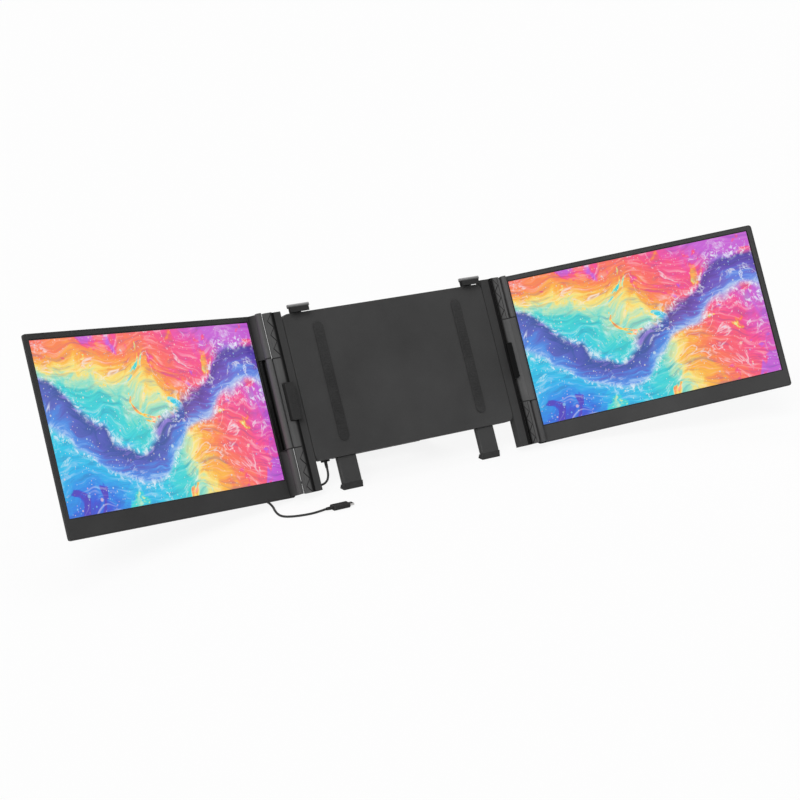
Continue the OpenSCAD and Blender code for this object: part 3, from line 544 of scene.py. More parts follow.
# %% The painted picture
def build_paint():
    tree, _, result = new_tree("paint flow", [], [("Picture", "Color")])
    flat, bent = sheet_place(tree, 1.778)
    reach = node(tree, "ShaderNodeVectorMath", [bent, (0.1, -0.32, 0)], operation="DISTANCE")
    strands = noise(tree, bent, 7.0, 5.0, 0.62, 1.4)
    along = calc(tree, "MULTIPLY_ADD", strands, 0.34, reach.outputs["Value"])
    fan = spread(tree, along, 0.42, 2.05)
    # Pools of another colour lie in the fan with soft borders
    pool = noise(tree, flat, 3.1, 4.0, 0.6, 0.8)
    fan = calc(tree, "MULTIPLY_ADD", spread(tree, pool, 0.60, 0.66), 0.3, fan)
    fan = calc(tree, "MULTIPLY_ADD", spread(tree, pool, 0.40, 0.34), -0.26, fan, clamp=True)
    colour = ramp(tree, fan, [(at, tone(*c)) for at, c in PAINT])
    # Strands of lighter and darker paint follow the bends
    drag = node(tree, "ShaderNodeMapping", {"Vector": bent, "Rotation": (0, 0, 0.7),
                                            "Scale": (5, 34, 1)})
    fine = noise(tree, drag.outputs[0], 1.0, 4.0, 0.6, 0.5)
    colour = blend(tree, spread(tree, fine, 0.54, 0.76, 0.0, 0.4), colour, (1, 1, 1, 1))
    colour = blend(tree, spread(tree, fine, 0.48, 0.3, 0.0, 0.42), colour, (0.02, 0.06, 0.30, 1))
    # The ribbon is the band near a slow wave across the sheet
    parts = node(tree, "ShaderNodeSeparateXYZ", [bent]).outputs
    wave = calc(tree, "SINE", calc(tree, "MULTIPLY_ADD", parts["X"], 3.4, 2.5))
    middle = calc(tree, "MULTIPLY_ADD", wave, 0.24, 0.5)
    apart = calc(tree, "ABSOLUTE", calc(tree, "SUBTRACT", parts["Y"], middle))
    width = calc(tree, "MULTIPLY_ADD", noise(tree, flat, 2.2, 2.0), 0.2, 0.03)
    band = spread(tree, calc(tree, "DIVIDE", apart, width), 0.7, 1.05, 1.0, 0.0)
    depth = spread(tree, calc(tree, "DIVIDE", calc(tree, "SUBTRACT", parts["Y"], middle), width),
                   -1.0, 1.0)
    ribbon = ramp(tree, calc(tree, "MULTIPLY_ADD", calc(tree, "SUBTRACT", fine, 0.5), 1.1, depth), [
        (0.0, tone(170, 204, 246)), (0.25, tone(70, 132, 228)), (0.5, tone(86, 78, 190)),
        (0.8, tone(46, 50, 150)), (1.0, tone(136, 100, 212))])
    colour = blend(tree, calc(tree, "MULTIPLY", band, 0.92), colour, ribbon)
    # Foam breaks along the ribbon's rim
    rim = calc(tree, "ABSOLUTE", calc(tree, "SUBTRACT", calc(tree, "DIVIDE", apart, width), 0.98))
    foam = calc(tree, "MULTIPLY", spread(tree, rim, 0.0, 0.42, 0.85, 0.0),
                spread(tree, noise(tree, flat, 26.0, 5.0, 0.72, 0.6), 0.5, 0.6))
    colour = blend(tree, foam, colour, (0.86, 0.93, 1, 1))
    # Thin white splashes are the crests of a stretched noise
    crest = noise(tree, bent, 2.6, 4.0, 0.55, 0.9)
    crest = calc(tree, "ABSOLUTE", calc(tree, "SUBTRACT", crest, 0.53))
    splash = calc(tree, "MULTIPLY", spread(tree, crest, 0.002, 0.016, 0.6, 0.0),
                  spread(tree, strands, 0.48, 0.64))
    colour = blend(tree, splash, colour, (0.92, 0.97, 1, 1))
    # Drops of three sizes
    for scale, size, share in ((11.0, 0.15, 0.2), (27.0, 0.2, 0.28), (64.0, 0.26, 0.36)):
        cells = node(tree, "ShaderNodeTexVoronoi", {"Vector": flat, "Scale": scale})
        shade = node(tree, "ShaderNodeSeparateColor", [cells.outputs["Color"]]).outputs
        round_drop = spread(tree, cells.outputs["Distance"], size * 0.6, size, 1.0, 0.0)
        chosen = spread(tree, shade[0], 1 - share, 1 - share + 0.02)
        paint = ramp(tree, shade[1], [(0.0, (0.12, 0.55, 0.9)), (0.3, (0.6, 0.9, 1.0)),
                                      (0.6, (1.0, 0.9, 0.6)), (1.0, (1.0, 0.45, 0.6))])
        drop = calc(tree, "MULTIPLY", calc(tree, "MULTIPLY", round_drop, chosen), 0.55)
        colour = blend(tree, drop, colour, paint)
    put(tree, result["Picture"], colour)
    return tree


PICTURE = build_paint()
print("picture nodes:", len(PICTURE.nodes))

# %% [markdown]
# The panel is dark, slightly frosted glass, and the picture is light that comes
# out of it. Outside the picture area the panel has a black border, which the
# UV map's 0 to 1 range tells apart.

# %% Screen glass
def screen_finish():
    made, tree, shader = new_material("screen glass")
    picture = group(tree, PICTURE)["Picture"]
    parts = node(tree, "ShaderNodeSeparateXYZ",
                 [node(tree, "ShaderNodeUVMap", uv_map="UVMap").outputs[0]]).outputs
    inside = None
    for axis in ("X", "Y"):
        off_middle = calc(tree, "ABSOLUTE", calc(tree, "SUBTRACT", parts[axis], 0.5))
        here = calc(tree, "LESS_THAN", off_middle, 0.5)
        inside = here if inside is None else calc(tree, "MULTIPLY", inside, here)
    glow = blend(tree, inside, (0, 0, 0, 1), picture)
    put(tree, shader.inputs["Emission Color"], glow)
    shader.inputs["Emission Strength"].default_value = 0.96
    smudge = group(tree, SMUDGES, Patches=9.0, Specks=420.0)
    dusty = calc(tree, "MULTIPLY", smudge["Dust"], 0.05)
    put(tree, shader.inputs["Base Color"],
        blend(tree, dusty, (*tone(8), 1), (*tone(200), 1)))
    put(tree, shader.inputs["Roughness"], spread(tree, smudge["Smudge"], 0, 1, 0.34, 0.42))
    shader.inputs["Specular IOR Level"].default_value = 0.4
    return made


FINISH["screen_glass"] = screen_finish()
print("finishes:", len(FINISH))

# %% [markdown]
# ## Stage and light
#
# The floor is pale and takes the object's shadow. To a camera, a reflection or
# a clear piece, the floor and the world look white, while the object is lit at
# a plain level: a soft sky, a large key lamp from the upper left, a weaker fill
# from the right, and a strip behind that draws the upper edges.

# %% Floor and world
def seen_directly(tree):
    """1 for rays from the camera, a mirror or a clear piece, 0 for the light itself."""
    path = tree.nodes.new("ShaderNodeLightPath").outputs
    seen = calc(tree, "MAXIMUM", path["Is Camera Ray"], path["Is Glossy Ray"])
    return calc(tree, "MAXIMUM", seen, path["Is Transmission Ray"])


def build_floor():
    mesh = bpy.data.meshes.new("floor")
    corners = [(-30, -30, 0), (30, -30, 0), (30, 30, 0), (-30, 30, 0)]
    mesh.from_pydata(corners, [], [(0, 1, 2, 3)])
    obj = bpy.data.objects.new("floor", mesh)
    bpy.context.scene.collection.objects.link(obj)
    made, tree, shader = new_material("pale floor")
    shader.inputs["Base Color"].default_value = (0.9, 0.9, 0.9, 1)
    shader.inputs["Roughness"].default_value = 0.9
    shader.inputs["Specular IOR Level"].default_value = 0.0
    white = node(tree, "ShaderNodeEmission", {"Strength": 1.0})
    share = calc(tree, "MULTIPLY", seen_directly(tree), 0.88)
    mixed = node(tree, "ShaderNodeMixShader", [share, shader.outputs[0], white.outputs[0]])
    put(tree, tree.nodes["Material Output"].inputs["Surface"], mixed.outputs[0])
    mesh.materials.append(made)


def build_world(light):
    world = bpy.data.worlds.new("studio")
    bpy.context.scene.world = world
    world.use_nodes = True
    tree = world.node_tree
    sky = tree.nodes["Background"]
    sky.inputs["Color"].default_value = (1, 1, 1, 1)
    strength = spread(tree, seen_directly(tree), 0, 1, light, 1.0)
    put(tree, sky.inputs["Strength"], strength)


build_floor()
build_world(0.22)
print("world:", bpy.context.scene.world.name)

# %% [markdown]
# Three far lamps are enough. Each is given by where it stands, seen from the
# object, so that its numbers can be read as on a studio plan.

# %% Lamps
def sun(name, azimuth, elevation, strength, softness):
    """A soft far lamp. A strength of pi lights a surface that faces it at full value."""
    data = bpy.data.lights.new(name, "SUN")
    data.energy = strength
    data.angle = math.radians(softness)
    obj = bpy.data.objects.new(name, data)
    a, e = math.radians(azimuth), math.radians(elevation)
    towards = Vector((math.sin(a) * math.cos(e), -math.cos(a) * math.cos(e), math.sin(e)))
    facing = towards.to_track_quat("Z", "Y").to_matrix().to_4x4()
    obj.matrix_world = Matrix.Translation(towards * 3) @ facing
    bpy.context.scene.collection.objects.link(obj)


sun("key", -50, 40, 2.25, 38)
sun("fill", 55, 28, 0.12, 60)
sun("top", 165, 66, 0.95, 40)
bpy.context.scene.view_settings.view_transform = "Standard"

# %% [markdown]
# ## Drawing tools
#
# A piece starts as a plain bmesh in millimetres. Its edges are then rounded,
# because no moulded or machined edge is perfectly sharp, and the rounded faces
# are painted with the value that the edge wear reads. Weighted normals keep the
# flat faces looking flat. Last, one matrix lays the piece in the shared frame.

# %% Shapes in millimetres
def prism(outline, low, high, axis="y"):
    """The outline, drawn in the other two axes, pulled from low to high."""
    order = {"x": lambda u, v, t: (t, u, v), "y": lambda u, v, t: (u, t, v),
             "z": lambda u, v, t: (u, v, t)}[axis]
    bm = bmesh.new()
    rings = [[bm.verts.new(order(u, v, t)) for u, v in outline] for t in (low, high)]
    count = len(outline)
    for i in range(count):
        j = (i + 1) % count
        bm.faces.new((rings[0][i], rings[0][j], rings[1][j], rings[1][i]))
    bm.faces.new(rings[0][::-1])
    bm.faces.new(rings[1])
    bmesh.ops.recalc_face_normals(bm, faces=bm.faces)
    return bm


def round_box(x0, y0, x1, y1, r, steps=6):
    """Outline of a rectangle with round corners."""
    corners = ((x1 - r, y1 - r, 0), (x0 + r, y1 - r, 90), (x0 + r, y0 + r, 180),
               (x1 - r, y0 + r, 270))
    return [(x + r * math.cos(math.radians(a + 90 * k / steps)),
             y + r * math.sin(math.radians(a + 90 * k / steps)))
            for x, y, a in corners for k in range(steps + 1)]


def circle(x, y, r, steps=32):
    return [(x + r * math.cos(math.tau * k / steps), y + r * math.sin(math.tau * k / steps))
            for k in range(steps)]


print("points round a box:", len(round_box(0, 0, 10, 10, 2)))

# %% [markdown]
# Round pieces are turned from a profile, as on a lathe.

# %% Turned shapes and joined shapes
def turned(profile, centre, axis="y", steps=32):
    """A profile of (distance along the axis, radius) turned round that axis."""
    order = {"x": lambda t, u, v: (t, u, v), "y": lambda t, u, v: (u, t, v),
             "z": lambda t, u, v: (u, v, t)}[axis]
    middle = Vector(centre)
    bm = bmesh.new()
    rings = []
    for t, r in profile:
        if r < 1e-6:
            rings.append([bm.verts.new(middle + Vector(order(t, 0, 0)))])
        else:
            rings.append([bm.verts.new(middle + Vector(order(t, u, v)))
                          for u, v in circle(0, 0, r, steps)])
    for a, b in zip(rings, rings[1:]):
        for i in range(steps):
            j = (i + 1) % steps
            face = [a[i % len(a)], a[j % len(a)], b[j % len(b)], b[i % len(b)]]
            bm.faces.new(list(dict.fromkeys(face)))
    for ring, flip in ((rings[0], True), (rings[-1], False)):
        if len(ring) > 2:
            bm.faces.new(ring[::-1] if flip else ring)
    bmesh.ops.recalc_face_normals(bm, faces=bm.faces)
    return bm


def join(*shapes):
    """Several shapes as one bmesh."""
    whole = bmesh.new()
    for bm in shapes:
        mesh = bpy.data.meshes.new("part")
        bm.to_mesh(mesh)
        whole.from_mesh(mesh)
        bpy.data.meshes.remove(mesh)
    return whole


print("points round a circle:", len(circle(0, 0, 1)))

# %% [markdown]
# Rounding an edge makes a thin band of new faces, and that band is painted as
# edge. Extra cuts across a piece give a painted value a place to change.

# %% Rounded edges and extra cuts
def soften(bm, width, segments=2, angle=34):
    """Rounds the sharp edges and paints the rounded faces as edge."""
    paint = bm.faces.layers.float.get("edge") or bm.faces.layers.float.new("edge")
    sharp = [e for e in bm.edges
             if len(e.link_faces) == 2 and e.calc_face_angle(0) > math.radians(angle)]
    made = bmesh.ops.bevel(bm, geom=sharp, offset=width, segments=segments, profile=0.6,
                           affect="EDGES", clamp_overlap=True)
    for face in made["faces"]:
        face[paint] = 1.0
    return bm


def slice_at(bm, places, axis):
    """Cuts the faces along planes across an axis, so that paint can change there."""
    normal = Vector({"x": (1, 0, 0), "y": (0, 1, 0), "z": (0, 0, 1)}[axis])
    for place in places:
        bmesh.ops.bisect_plane(bm, geom=bm.verts[:] + bm.edges[:] + bm.faces[:], dist=0.0001,
                               plane_co=normal * place, plane_no=normal)


print("drawing tools ready")

# %% [markdown]
# A finished piece keeps its object at the origin and its place in its mesh, so
# that patterns on Object coordinates stay where they are.

# %% Laying a piece in the shared frame
def as_mesh(bm, name):
    mesh = bpy.data.meshes.new(name)
    bm.to_mesh(mesh)
    bm.free()
    return mesh


def evaluated(obj):
    """The object's mesh with its modifiers applied, and the object removed."""
    graph = bpy.context.evaluated_depsgraph_get()
    mesh = bpy.data.meshes.new_from_object(obj.evaluated_get(graph))
    bpy.data.objects.remove(obj)
    return mesh


def temporary(mesh):
    obj = bpy.data.objects.new("temporary", mesh)
    bpy.context.scene.collection.objects.link(obj)
    return obj


def settle(mesh, matrix, smooth_angle=40):
    """Moves a drawn mesh into the shared frame and gives it clean shading."""
    bm = bmesh.new()
    bm.from_mesh(mesh)
    bm.transform(matrix)
    bmesh.ops.remove_doubles(bm, verts=bm.verts, dist=2e-7)
    bmesh.ops.recalc_face_normals(bm, faces=bm.faces)
    for face in bm.faces:
        face.smooth = True
    bm.to_mesh(mesh)
    bm.free()
    mesh.set_sharp_from_angle(angle=math.radians(smooth_angle))
    obj = temporary(mesh)
    weights = obj.modifiers.new("weights", "WEIGHTED_NORMAL")
    weights.keep_sharp = True
    return evaluated(obj)


def lay(shape, name, matrix, body, slot, replaced=(), smooth_angle=40):
    """A finished piece from a bmesh or a mesh drawn in millimetres."""
    mesh = as_mesh(shape, name) if isinstance(shape, bmesh.types.BMesh) else shape
    mesh = settle(mesh, matrix, smooth_angle)
    mesh.name = name
    mesh.materials.clear()
    mesh.materials.append(FINISH[slot])
    obj = bpy.data.objects.new(name, mesh)
    bpy.context.scene.collection.objects.link(obj)
    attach(obj, body)
    if replaced:
        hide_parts(*([replaced] if isinstance(replaced, str) else replaced))
    print(f"{name}: {len(mesh.polygons)} faces")
    return obj

# %% [markdown]
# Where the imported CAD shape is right, a copy of its mesh is used. The copy's
# loose triangles are merged, flat triangles are joined into whole faces, and
# the edges are rounded. The CAD node itself is left as it is and hidden.

# %% Softened copies of CAD nodes
def node_copy(name):
    """The merged mesh of a CAD node, in millimetres of the shared frame."""
    bm = bmesh.new()
    bm.from_mesh(frame["nodes"][name].data)
    bm.transform(Matrix.Scale(1000, 4))
    bmesh.ops.remove_doubles(bm, verts=bm.verts, dist=0.002)
    bmesh.ops.dissolve_limit(bm, angle_limit=math.radians(0.6), verts=bm.verts, edges=bm.edges)
    return bm


def node_in(name, matrix):
    """The same copy, drawn in a piece's own frame, with its faces pointing outwards."""
    bm = node_copy(name)
    bm.transform(matrix.inverted() @ MM)
    bmesh.ops.recalc_face_normals(bm, faces=bm.faces)
    return bm


def soft_copy(name, width, body, slot, segments=2, angle=34):
    bm = soften(node_copy(name), width, segments, angle)
    return lay(bm, name + "_soft", MM, body, slot, name)

# %% [markdown]
# ## Repeated details with Geometry Nodes
#
# One small tree sets copies of a shape on given points: screws, ribs, knurls.
# The points are the vertices of the object that carries the modifier. The tree
# ends in Realize Instances and Set Material, and its result is taken as a plain
# mesh, so nothing of the tree is left on the finished piece.

# %% A tree that sets copies on points
def geometry_tree(name, takes):
    tree = bpy.data.node_groups.new(name, "GeometryNodeTree")
    tree.interface.new_socket("Geometry", in_out="INPUT", socket_type="NodeSocketGeometry")
    for label, kind in takes:
        tree.interface.new_socket(label, in_out="INPUT", socket_type="NodeSocket" + kind)
    tree.interface.new_socket("Geometry", in_out="OUTPUT", socket_type="NodeSocketGeometry")
    return tree, tree.nodes.new("NodeGroupInput").outputs, tree.nodes.new("NodeGroupOutput").inputs


def build_copies():
    takes = [("Shape", "Object"), ("Turn", "Vector"), ("Size", "Float"), ("Finish", "Material")]
    tree, given, result = geometry_tree("copies on points", takes)
    shape = node(tree, "GeometryNodeObjectInfo", {"Object": given["Shape"]})
    set_out = node(tree, "GeometryNodeInstanceOnPoints", {
        "Points": given["Geometry"], "Instance": shape.outputs["Geometry"],
        "Scale": given["Size"]})
    turning = node(tree, "FunctionNodeEulerToRotation", {"Euler": given["Turn"]})
    put(tree, set_out.inputs["Rotation"], turning.outputs[0])
    whole = node(tree, "GeometryNodeRealizeInstances", {"Geometry": set_out.outputs[0]})
    dressed = node(tree, "GeometryNodeSetMaterial", {"Geometry": whole.outputs[0],
                                                     "Material": given["Finish"]})
    put(tree, result["Geometry"], dressed.outputs[0])
    return tree


def run_tree(tree, mesh, **values):
    """Runs a geometry tree on a mesh once, and gives back the plain result."""
    obj = temporary(mesh)
    modifier = obj.modifiers.new("tree", "NODES")
    modifier.node_group = tree
    for item in tree.interface.items_tree:
        if item.item_type == "SOCKET" and item.in_out == "INPUT" and item.name in values:
            modifier[item.identifier] = values[item.name]
    return evaluated(obj)


COPIES = build_copies()


def copies(shape, points, slot, turn=(0, 0, 0), size=1.0):
    """Copies of a bmesh on a list of points, as one plain mesh."""
    pattern = temporary(as_mesh(shape, "pattern"))
    marks = bpy.data.meshes.new("marks")
    marks.from_pydata(points, [], [])
    made = run_tree(COPIES, marks, Shape=pattern, Turn=turn, Size=size, Finish=FINISH[slot])
    bpy.data.objects.remove(pattern)
    return made


print("tree:", COPIES.name)

# %% [markdown]
# ### Screws
#
# The small screws have a low domed head with a cross recess. The head is turned
# from a profile, and the cross is cut once with a Boolean modifier; the tree
# then sets as many copies as the part has holes. Under the head the shank shows
# as a few rings of thread.

# %% Screw pattern
def cut(body, cutter):
    """body minus cutter, both bmeshes."""
    obj, tool = temporary(as_mesh(body, "body")), temporary(as_mesh(cutter, "cutter"))
    boolean = obj.modifiers.new("cut", "BOOLEAN")
    boolean.operation, boolean.solver, boolean.object = "DIFFERENCE", "EXACT", tool
    mesh = evaluated(obj)
    bpy.data.objects.remove(tool)
    bm = bmesh.new()
    bm.from_mesh(mesh)
    return bm


def ring_groove(x0, z0, x1, z1, r, surface, depth=0.35, width=0.8):
    """A cutter for a thin line round a rectangle on a back face."""
    w = width
    outer = prism(round_box(x0, z0, x1, z1, r), surface - depth, surface + 1, "y")
    inner = prism(round_box(x0 + w, z0 + w, x1 - w, z1 - w, r - w), surface - 2 * depth,
                  surface + 2, "y")
    return cut(outer, inner)


def screw(head_r, head_h, shank_r, shank_len):
    """A screw along y: its seat at y = 0, its head towards +y, its shank towards -y."""
    pitch = 0.5
    thread = []
    for k in range(int(shank_len / pitch)):
        y = -shank_len + k * pitch
        thread += [(y, shank_r * 0.82), (y + pitch / 2, shank_r)]
    head = [(0, shank_r), (0.001, head_r), (head_h * 0.55, head_r),
            (head_h * 0.85, head_r * 0.86), (head_h, head_r * 0.6), (head_h, 0)]
    body = turned([(-shank_len, 0)] + thread + head, (0, 0, 0), "y", 24)
    arm, wide = head_r * 0.62, head_r * 0.2
    cross = [(arm, wide), (wide, wide), (wide, arm), (-wide, arm), (-wide, wide), (-arm, wide),
             (-arm, -wide), (-wide, -wide), (-wide, -arm), (wide, -arm), (wide, -wide),
             (arm, -wide)]
    return cut(body, prism(cross, head_h * 0.35, head_h + 1, "y"))


test = screw(1.9, 0.88, 1.0, 6)
print("one screw has", len(test.faces), "faces")
test.free()

# %% [markdown]
# ## The cable and its plugs
#
# The cable is a curve with a round bevel, so its line stays exact.

# %% Cable
def cable_curve(name, line, radius):
    data = bpy.data.curves.new(name, "CURVE")
    data.dimensions = "3D"
    data.bevel_depth = radius
    data.bevel_resolution = 4
    spline = data.splines.new("POLY")
    spline.points.add(len(line) - 1)
    for point, at in zip(spline.points, line):
        point.co = (*at, 1)
    data.materials.append(FINISH["cable_sheath"])
    obj = bpy.data.objects.new(name, data)
    bpy.context.scene.collection.objects.link(obj)
    return obj


cable = cable_curve("cable_sheath", cable_line, CABLE_R * 0.001)
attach(cable, "frame")
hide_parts("cable", "cable_coil")
print("cable radius, mm:", CABLE_R)

# %% [markdown]
# Both plugs are alike: a soft-edged grip with finger ribs, a relief of rings where the cable leaves
# it, and a thin steel tip that is hollow at its mouth.
# They are drawn along +Z with the grip's face at Z = 0.

# %% Plug pieces
def shell_of(outer, inner, low, high, axis="z"):
    """A wall between two outlines of the same number of points."""
    order = {"y": lambda u, v, t: (u, t, v), "z": lambda u, v, t: (u, v, t)}[axis]
    bm = bmesh.new()
    loops = [[bm.verts.new(order(u, v, t)) for u, v in line]
             for line, t in ((outer, low), (outer, high), (inner, high), (inner, low))]
    for a, b in zip(loops, loops[1:] + loops[:1]):
        for i in range(len(a)):
            j = (i + 1) % len(a)
            bm.faces.new((a[i], a[j], b[j], b[i]))
    bmesh.ops.recalc_face_normals(bm, faces=bm.faces)
    return bm


def plug_grip(length, relief, play=0.0):
    body = soften(prism(round_box(-6, -3, 6, 3, 2.9), -length, -play, "z"), 0.6, 3, 60)
    ribs = []
    for side in (-1, 1):
        for k in range(5):
            z = -length * 0.5 + (k - 2) * 1.7
            line = round_box(-3.6, z - 0.35, 3.6, z + 0.35, 0.3, 3)
            y = side * 3
            rib = prism(line, min(y - side * 0.4, y + side * 0.1),
                        max(y - side * 0.4, y + side * 0.1), "y")
            ribs.append(soften(rib, 0.1, 1))
    profile = []
    steps = 7
    for k in range(steps):
        z = -length + 0.6 - relief * (k + 0.5) / steps
        r = 2.25 - 0.42 * k / steps
        profile += [(z + 0.42, r - 0.3), (z + 0.3, r), (z - 0.3, r), (z - 0.42, r - 0.3)]
    profile = [(-length + 0.7, 0), (-length + 0.7, 2.2)] + profile
    profile += [(profile[-1][0], 0)]
    return join(body, *ribs, turned(profile, (0, 0, 0), "z", 28))


def plug_tip(length, start):
    outer = round_box(-4.12, -1.22, 4.12, 1.22, 1.2)
    inner = round_box(-3.8, -0.9, 3.8, 0.9, 0.88)
    mouth = shell_of(outer, inner, start, length)
    back = prism(round_box(-3.9, -1.0, 3.9, 1.0, 0.95), start + 0.01, start + 1.6, "z")
    return join(soften(mouth, 0.12, 2, 60), back)


print("points round a plug:", len(round_box(-6, -3, 6, 3, 2.9)))

# %% [markdown]
# The same plug is laid twice: in the signal box's socket and at the laptop's.

# %% Both plugs
HUB_PORT = LID @ Matrix.Translation((-130, 21.2, 42))
LAPTOP_PORT = MM @ Matrix.Translation((-146, -53, 3.1)) @ Matrix((
    (0, 0, 1, 0), (1, 0, 0, 0), (0, 1, 0, 0), (0, 0, 0, 1)))
lay(plug_grip(22, 8.2, 0.3), "hub_plug_body", HUB_PORT, "frame", "dark_plastic",
    "hub_plug_grip")
lay(plug_tip(6.2, -0.28), "hub_plug_shell", HUB_PORT, "frame", "bright_steel", "hub_plug_tip")
grip = lay(plug_grip(22, 9.2), "laptop_plug_body", LAPTOP_PORT, "frame", "dark_plastic",
           "laptop_plug_grip")
tip = lay(plug_tip(6.5, 0.02), "laptop_plug_shell", LAPTOP_PORT, "frame", "bright_steel",
          "laptop_plug_tip")

# %% [markdown]
# A fabric tie with a small tab holds the coil together.

# %% Coil tie
def coil_tie():
    """A band round the bundle's section, drawn upright and then set across the coil."""
    outer = round_box(10.75, 0.02, 20.45, 6.15, 1.7)
    inner = round_box(11.15, 0.42, 20.05, 5.75, 1.35)
    band = shell_of(outer, inner, -3.5, 3.5, "y")
    tab = prism(round_box(20.2, -2.6, 26, 2.6, 1.2, 4), 1.9, 2.35, "z")
    return join(soften(band, 0.1, 1, 60), soften(tab, 0.1, 1, 60))


TIE = MM @ Matrix.Translation((*COIL_MIDDLE, 0)) @ Matrix.Rotation(math.radians(38), 4, "Z")
tie = lay(coil_tie(), "coil_tie", TIE, "frame", "soft_rubber")

# %% [markdown]
# ## The side monitors
#
# A monitor is a shallow tray with a bezel sheet laid in it, a glass panel under
# the bezel, and a strip along its inner side that carries two hinge barrels. A
# thin moulded line runs round the tray's back, so that the wide face isn't bare.
# All of it is drawn once and set on both sides; on the left the frame mirrors
# it, so normals are worked out again after the move.

# %% Monitor sizes
PICTURE_X, PICTURE_Z = (10.0, 354.2), (8.68, 202.28)
MONITOR_X1, MONITOR_Z, MONITOR_T = 362.8, (-14.62, 209.58), 7.0
HINGE_X, HINGE_Y = 186, {"left": 0.0, "right": 4.0}
BARREL_Z = ((-13.0, 42.3), (154.2, 209.5))
BARREL_R = 3.9
print("picture, mm:", PICTURE_X[1] - PICTURE_X[0], "by", PICTURE_Z[1] - PICTURE_Z[0])

# %% [markdown]
# The bezel sheet is drawn as rings of points that step in towards the picture.

# %% Bezel, panel map and back
def bezel_sheet():
    """A frame whose inner edge slopes down to the panel."""
    x0, x1, z0, z1 = 7.7, MONITOR_X1 - 1.4, MONITOR_Z[0] + 1.4, MONITOR_Z[1] - 1.4
    outer = round_box(x0, z0, x1, z1, 2.4)

    def opening(grow):
        return round_box(PICTURE_X[0] - grow, PICTURE_Z[0] - grow, PICTURE_X[1] + grow,
                         PICTURE_Z[1] + grow, 0.5)

    bm = bmesh.new()
    rings = ((outer, 1.0), (outer, 0.3), (round_box(x0 + 0.2, z0 + 0.2, x1 - 0.2, z1 - 0.2, 2.2),
                                          0.05),
             (opening(1.5), 0.05), (opening(1.1), 0.2), (opening(0.7), 1.0))
    loops = [[bm.verts.new((u, y, v)) for u, v in line] for line, y in rings]
    paint = bm.faces.layers.float.new("edge")
    dark = bm.faces.layers.float.new("dark")
    for k, (a, b) in enumerate(zip(loops, loops[1:] + loops[:1])):
        for i in range(len(a)):
            j = (i + 1) % len(a)
            face = bm.faces.new((a[i], a[j], b[j], b[i]))
            face[paint] = 1.0 if k in (1, 3) else 0.0
            face[dark] = 0.6 if k in (3, 4) else 0.0
    return bm


def panel_uv(obj, matrix, side):
    """A UV map that runs 0 to 1 across the picture as the viewer sees it."""
    back = matrix.inverted()
    layer = obj.data.uv_layers.new(name="UVMap")
    for loop in obj.data.loops:
        at = back @ obj.data.vertices[loop.vertex_index].co
        u = (at.x - PICTURE_X[0]) / (PICTURE_X[1] - PICTURE_X[0])
        v = (at.z - PICTURE_Z[0]) / (PICTURE_Z[1] - PICTURE_Z[0])
        layer.data[loop.index].uv = (1 - u if side == "left" else u, v)


def cover_shade(p, normal):
    """Painted shade: black on the wall behind the hinge and in the line on the back."""
    if p.x < 7.69 and normal.y < -0.4:
        return 0.85
    line = MONITOR_T - 0.4 < p.y < MONITOR_T - 0.05 and 12 < p.x < 358 and -10 < p.z < 205
    return 0.8 if line else 0.0


print("paint in the back line:", cover_shade(Vector((99, 6.8, 50)), Vector((0, 1, 0))))

# %% [markdown]
# The left sheet turns away from the key lamp. It is painted a little darker too,
# which stands for shade that these soft lamps don't give.

# %% Both monitors
for side in SIDES:
    at, body = monitor(side), f"{side}_monitor"
    sheet = as_mesh(bezel_sheet(), "sheet")
    paint_points(sheet, "shade", lambda point: 0.12 if side == "left" else 0.0)
    lay(sheet, f"{side}_bezel_sheet", at, body, "bezel_plastic", f"{side}_front_bezel")
    glass = soften(prism([(PICTURE_X[0] - 1.6, PICTURE_Z[0] - 2),
                          (PICTURE_X[1] + 2, PICTURE_Z[0] - 2),
                          (PICTURE_X[1] + 2, PICTURE_Z[1] + 2),
                          (PICTURE_X[0] - 1.6, PICTURE_Z[1] + 2)], 1.1, 2.3, "y"), 0.1, 1)
    panel = lay(glass, f"{side}_panel_glass", at, body, "screen_glass", f"{side}_screen")
    panel_uv(panel, at, side)
    cover = node_in(f"{side}_back_cover", at)
    cover = cut(soften(cover, 0.3, 2), ring_groove(14, -8.5, 356, 203, 6, MONITOR_T))
    slice_at(cover, [7.69], "x")
    paint_faces(cover, "dark", cover_shade)
    lay(cover, f"{side}_back_cover_soft", at, body, "monitor_cover", f"{side}_back_cover")

# %% [markdown]
# The hinge barrels are round bars on a sloping flank. The flank rises from the
# strip beside the picture and meets the bar along a line where it just touches,
# so the outline is that touching point, an arc, and the back of the strip.

# %% Hinge barrels
def touching(start, centre, r):
    """Where a line from start touches the outer side of a circle."""
    v = Vector(centre) - Vector(start)
    a = math.asin(r / v.length)
    reach = math.sqrt(v.length ** 2 - r * r) / v.length
    return Vector(start) + reach * Vector((
        v.x * math.cos(a) + v.y * math.sin(a), -v.x * math.sin(a) + v.y * math.cos(a)))


def hinge_axis(side):
    dx, dy = HINGE_X - 187.902, HINGE_Y[side] - 12.649
    return Vector((dx * math.cos(FOLD) - dy * math.sin(FOLD),
                   dx * math.sin(FOLD) + dy * math.cos(FOLD)))


def barrel_outline(side, steps=40):
    c = hinge_axis(side)
    foot = Vector((7.4, 1.0))
    flank = touching(foot, c, BARREL_R)
    start = math.atan2(flank.y - c.y, flank.x - c.x)
    arc = [c + BARREL_R * Vector((math.cos(a), math.sin(a)))
           for a in (start + (-math.pi - start) * k / steps for k in range(steps + 1))]
    return [(-3.5, 1.0), tuple(foot)] + [tuple(p) for p in arc] + [
        (c.x - BARREL_R, c.y + 3), (-3.5, c.y + 6)]


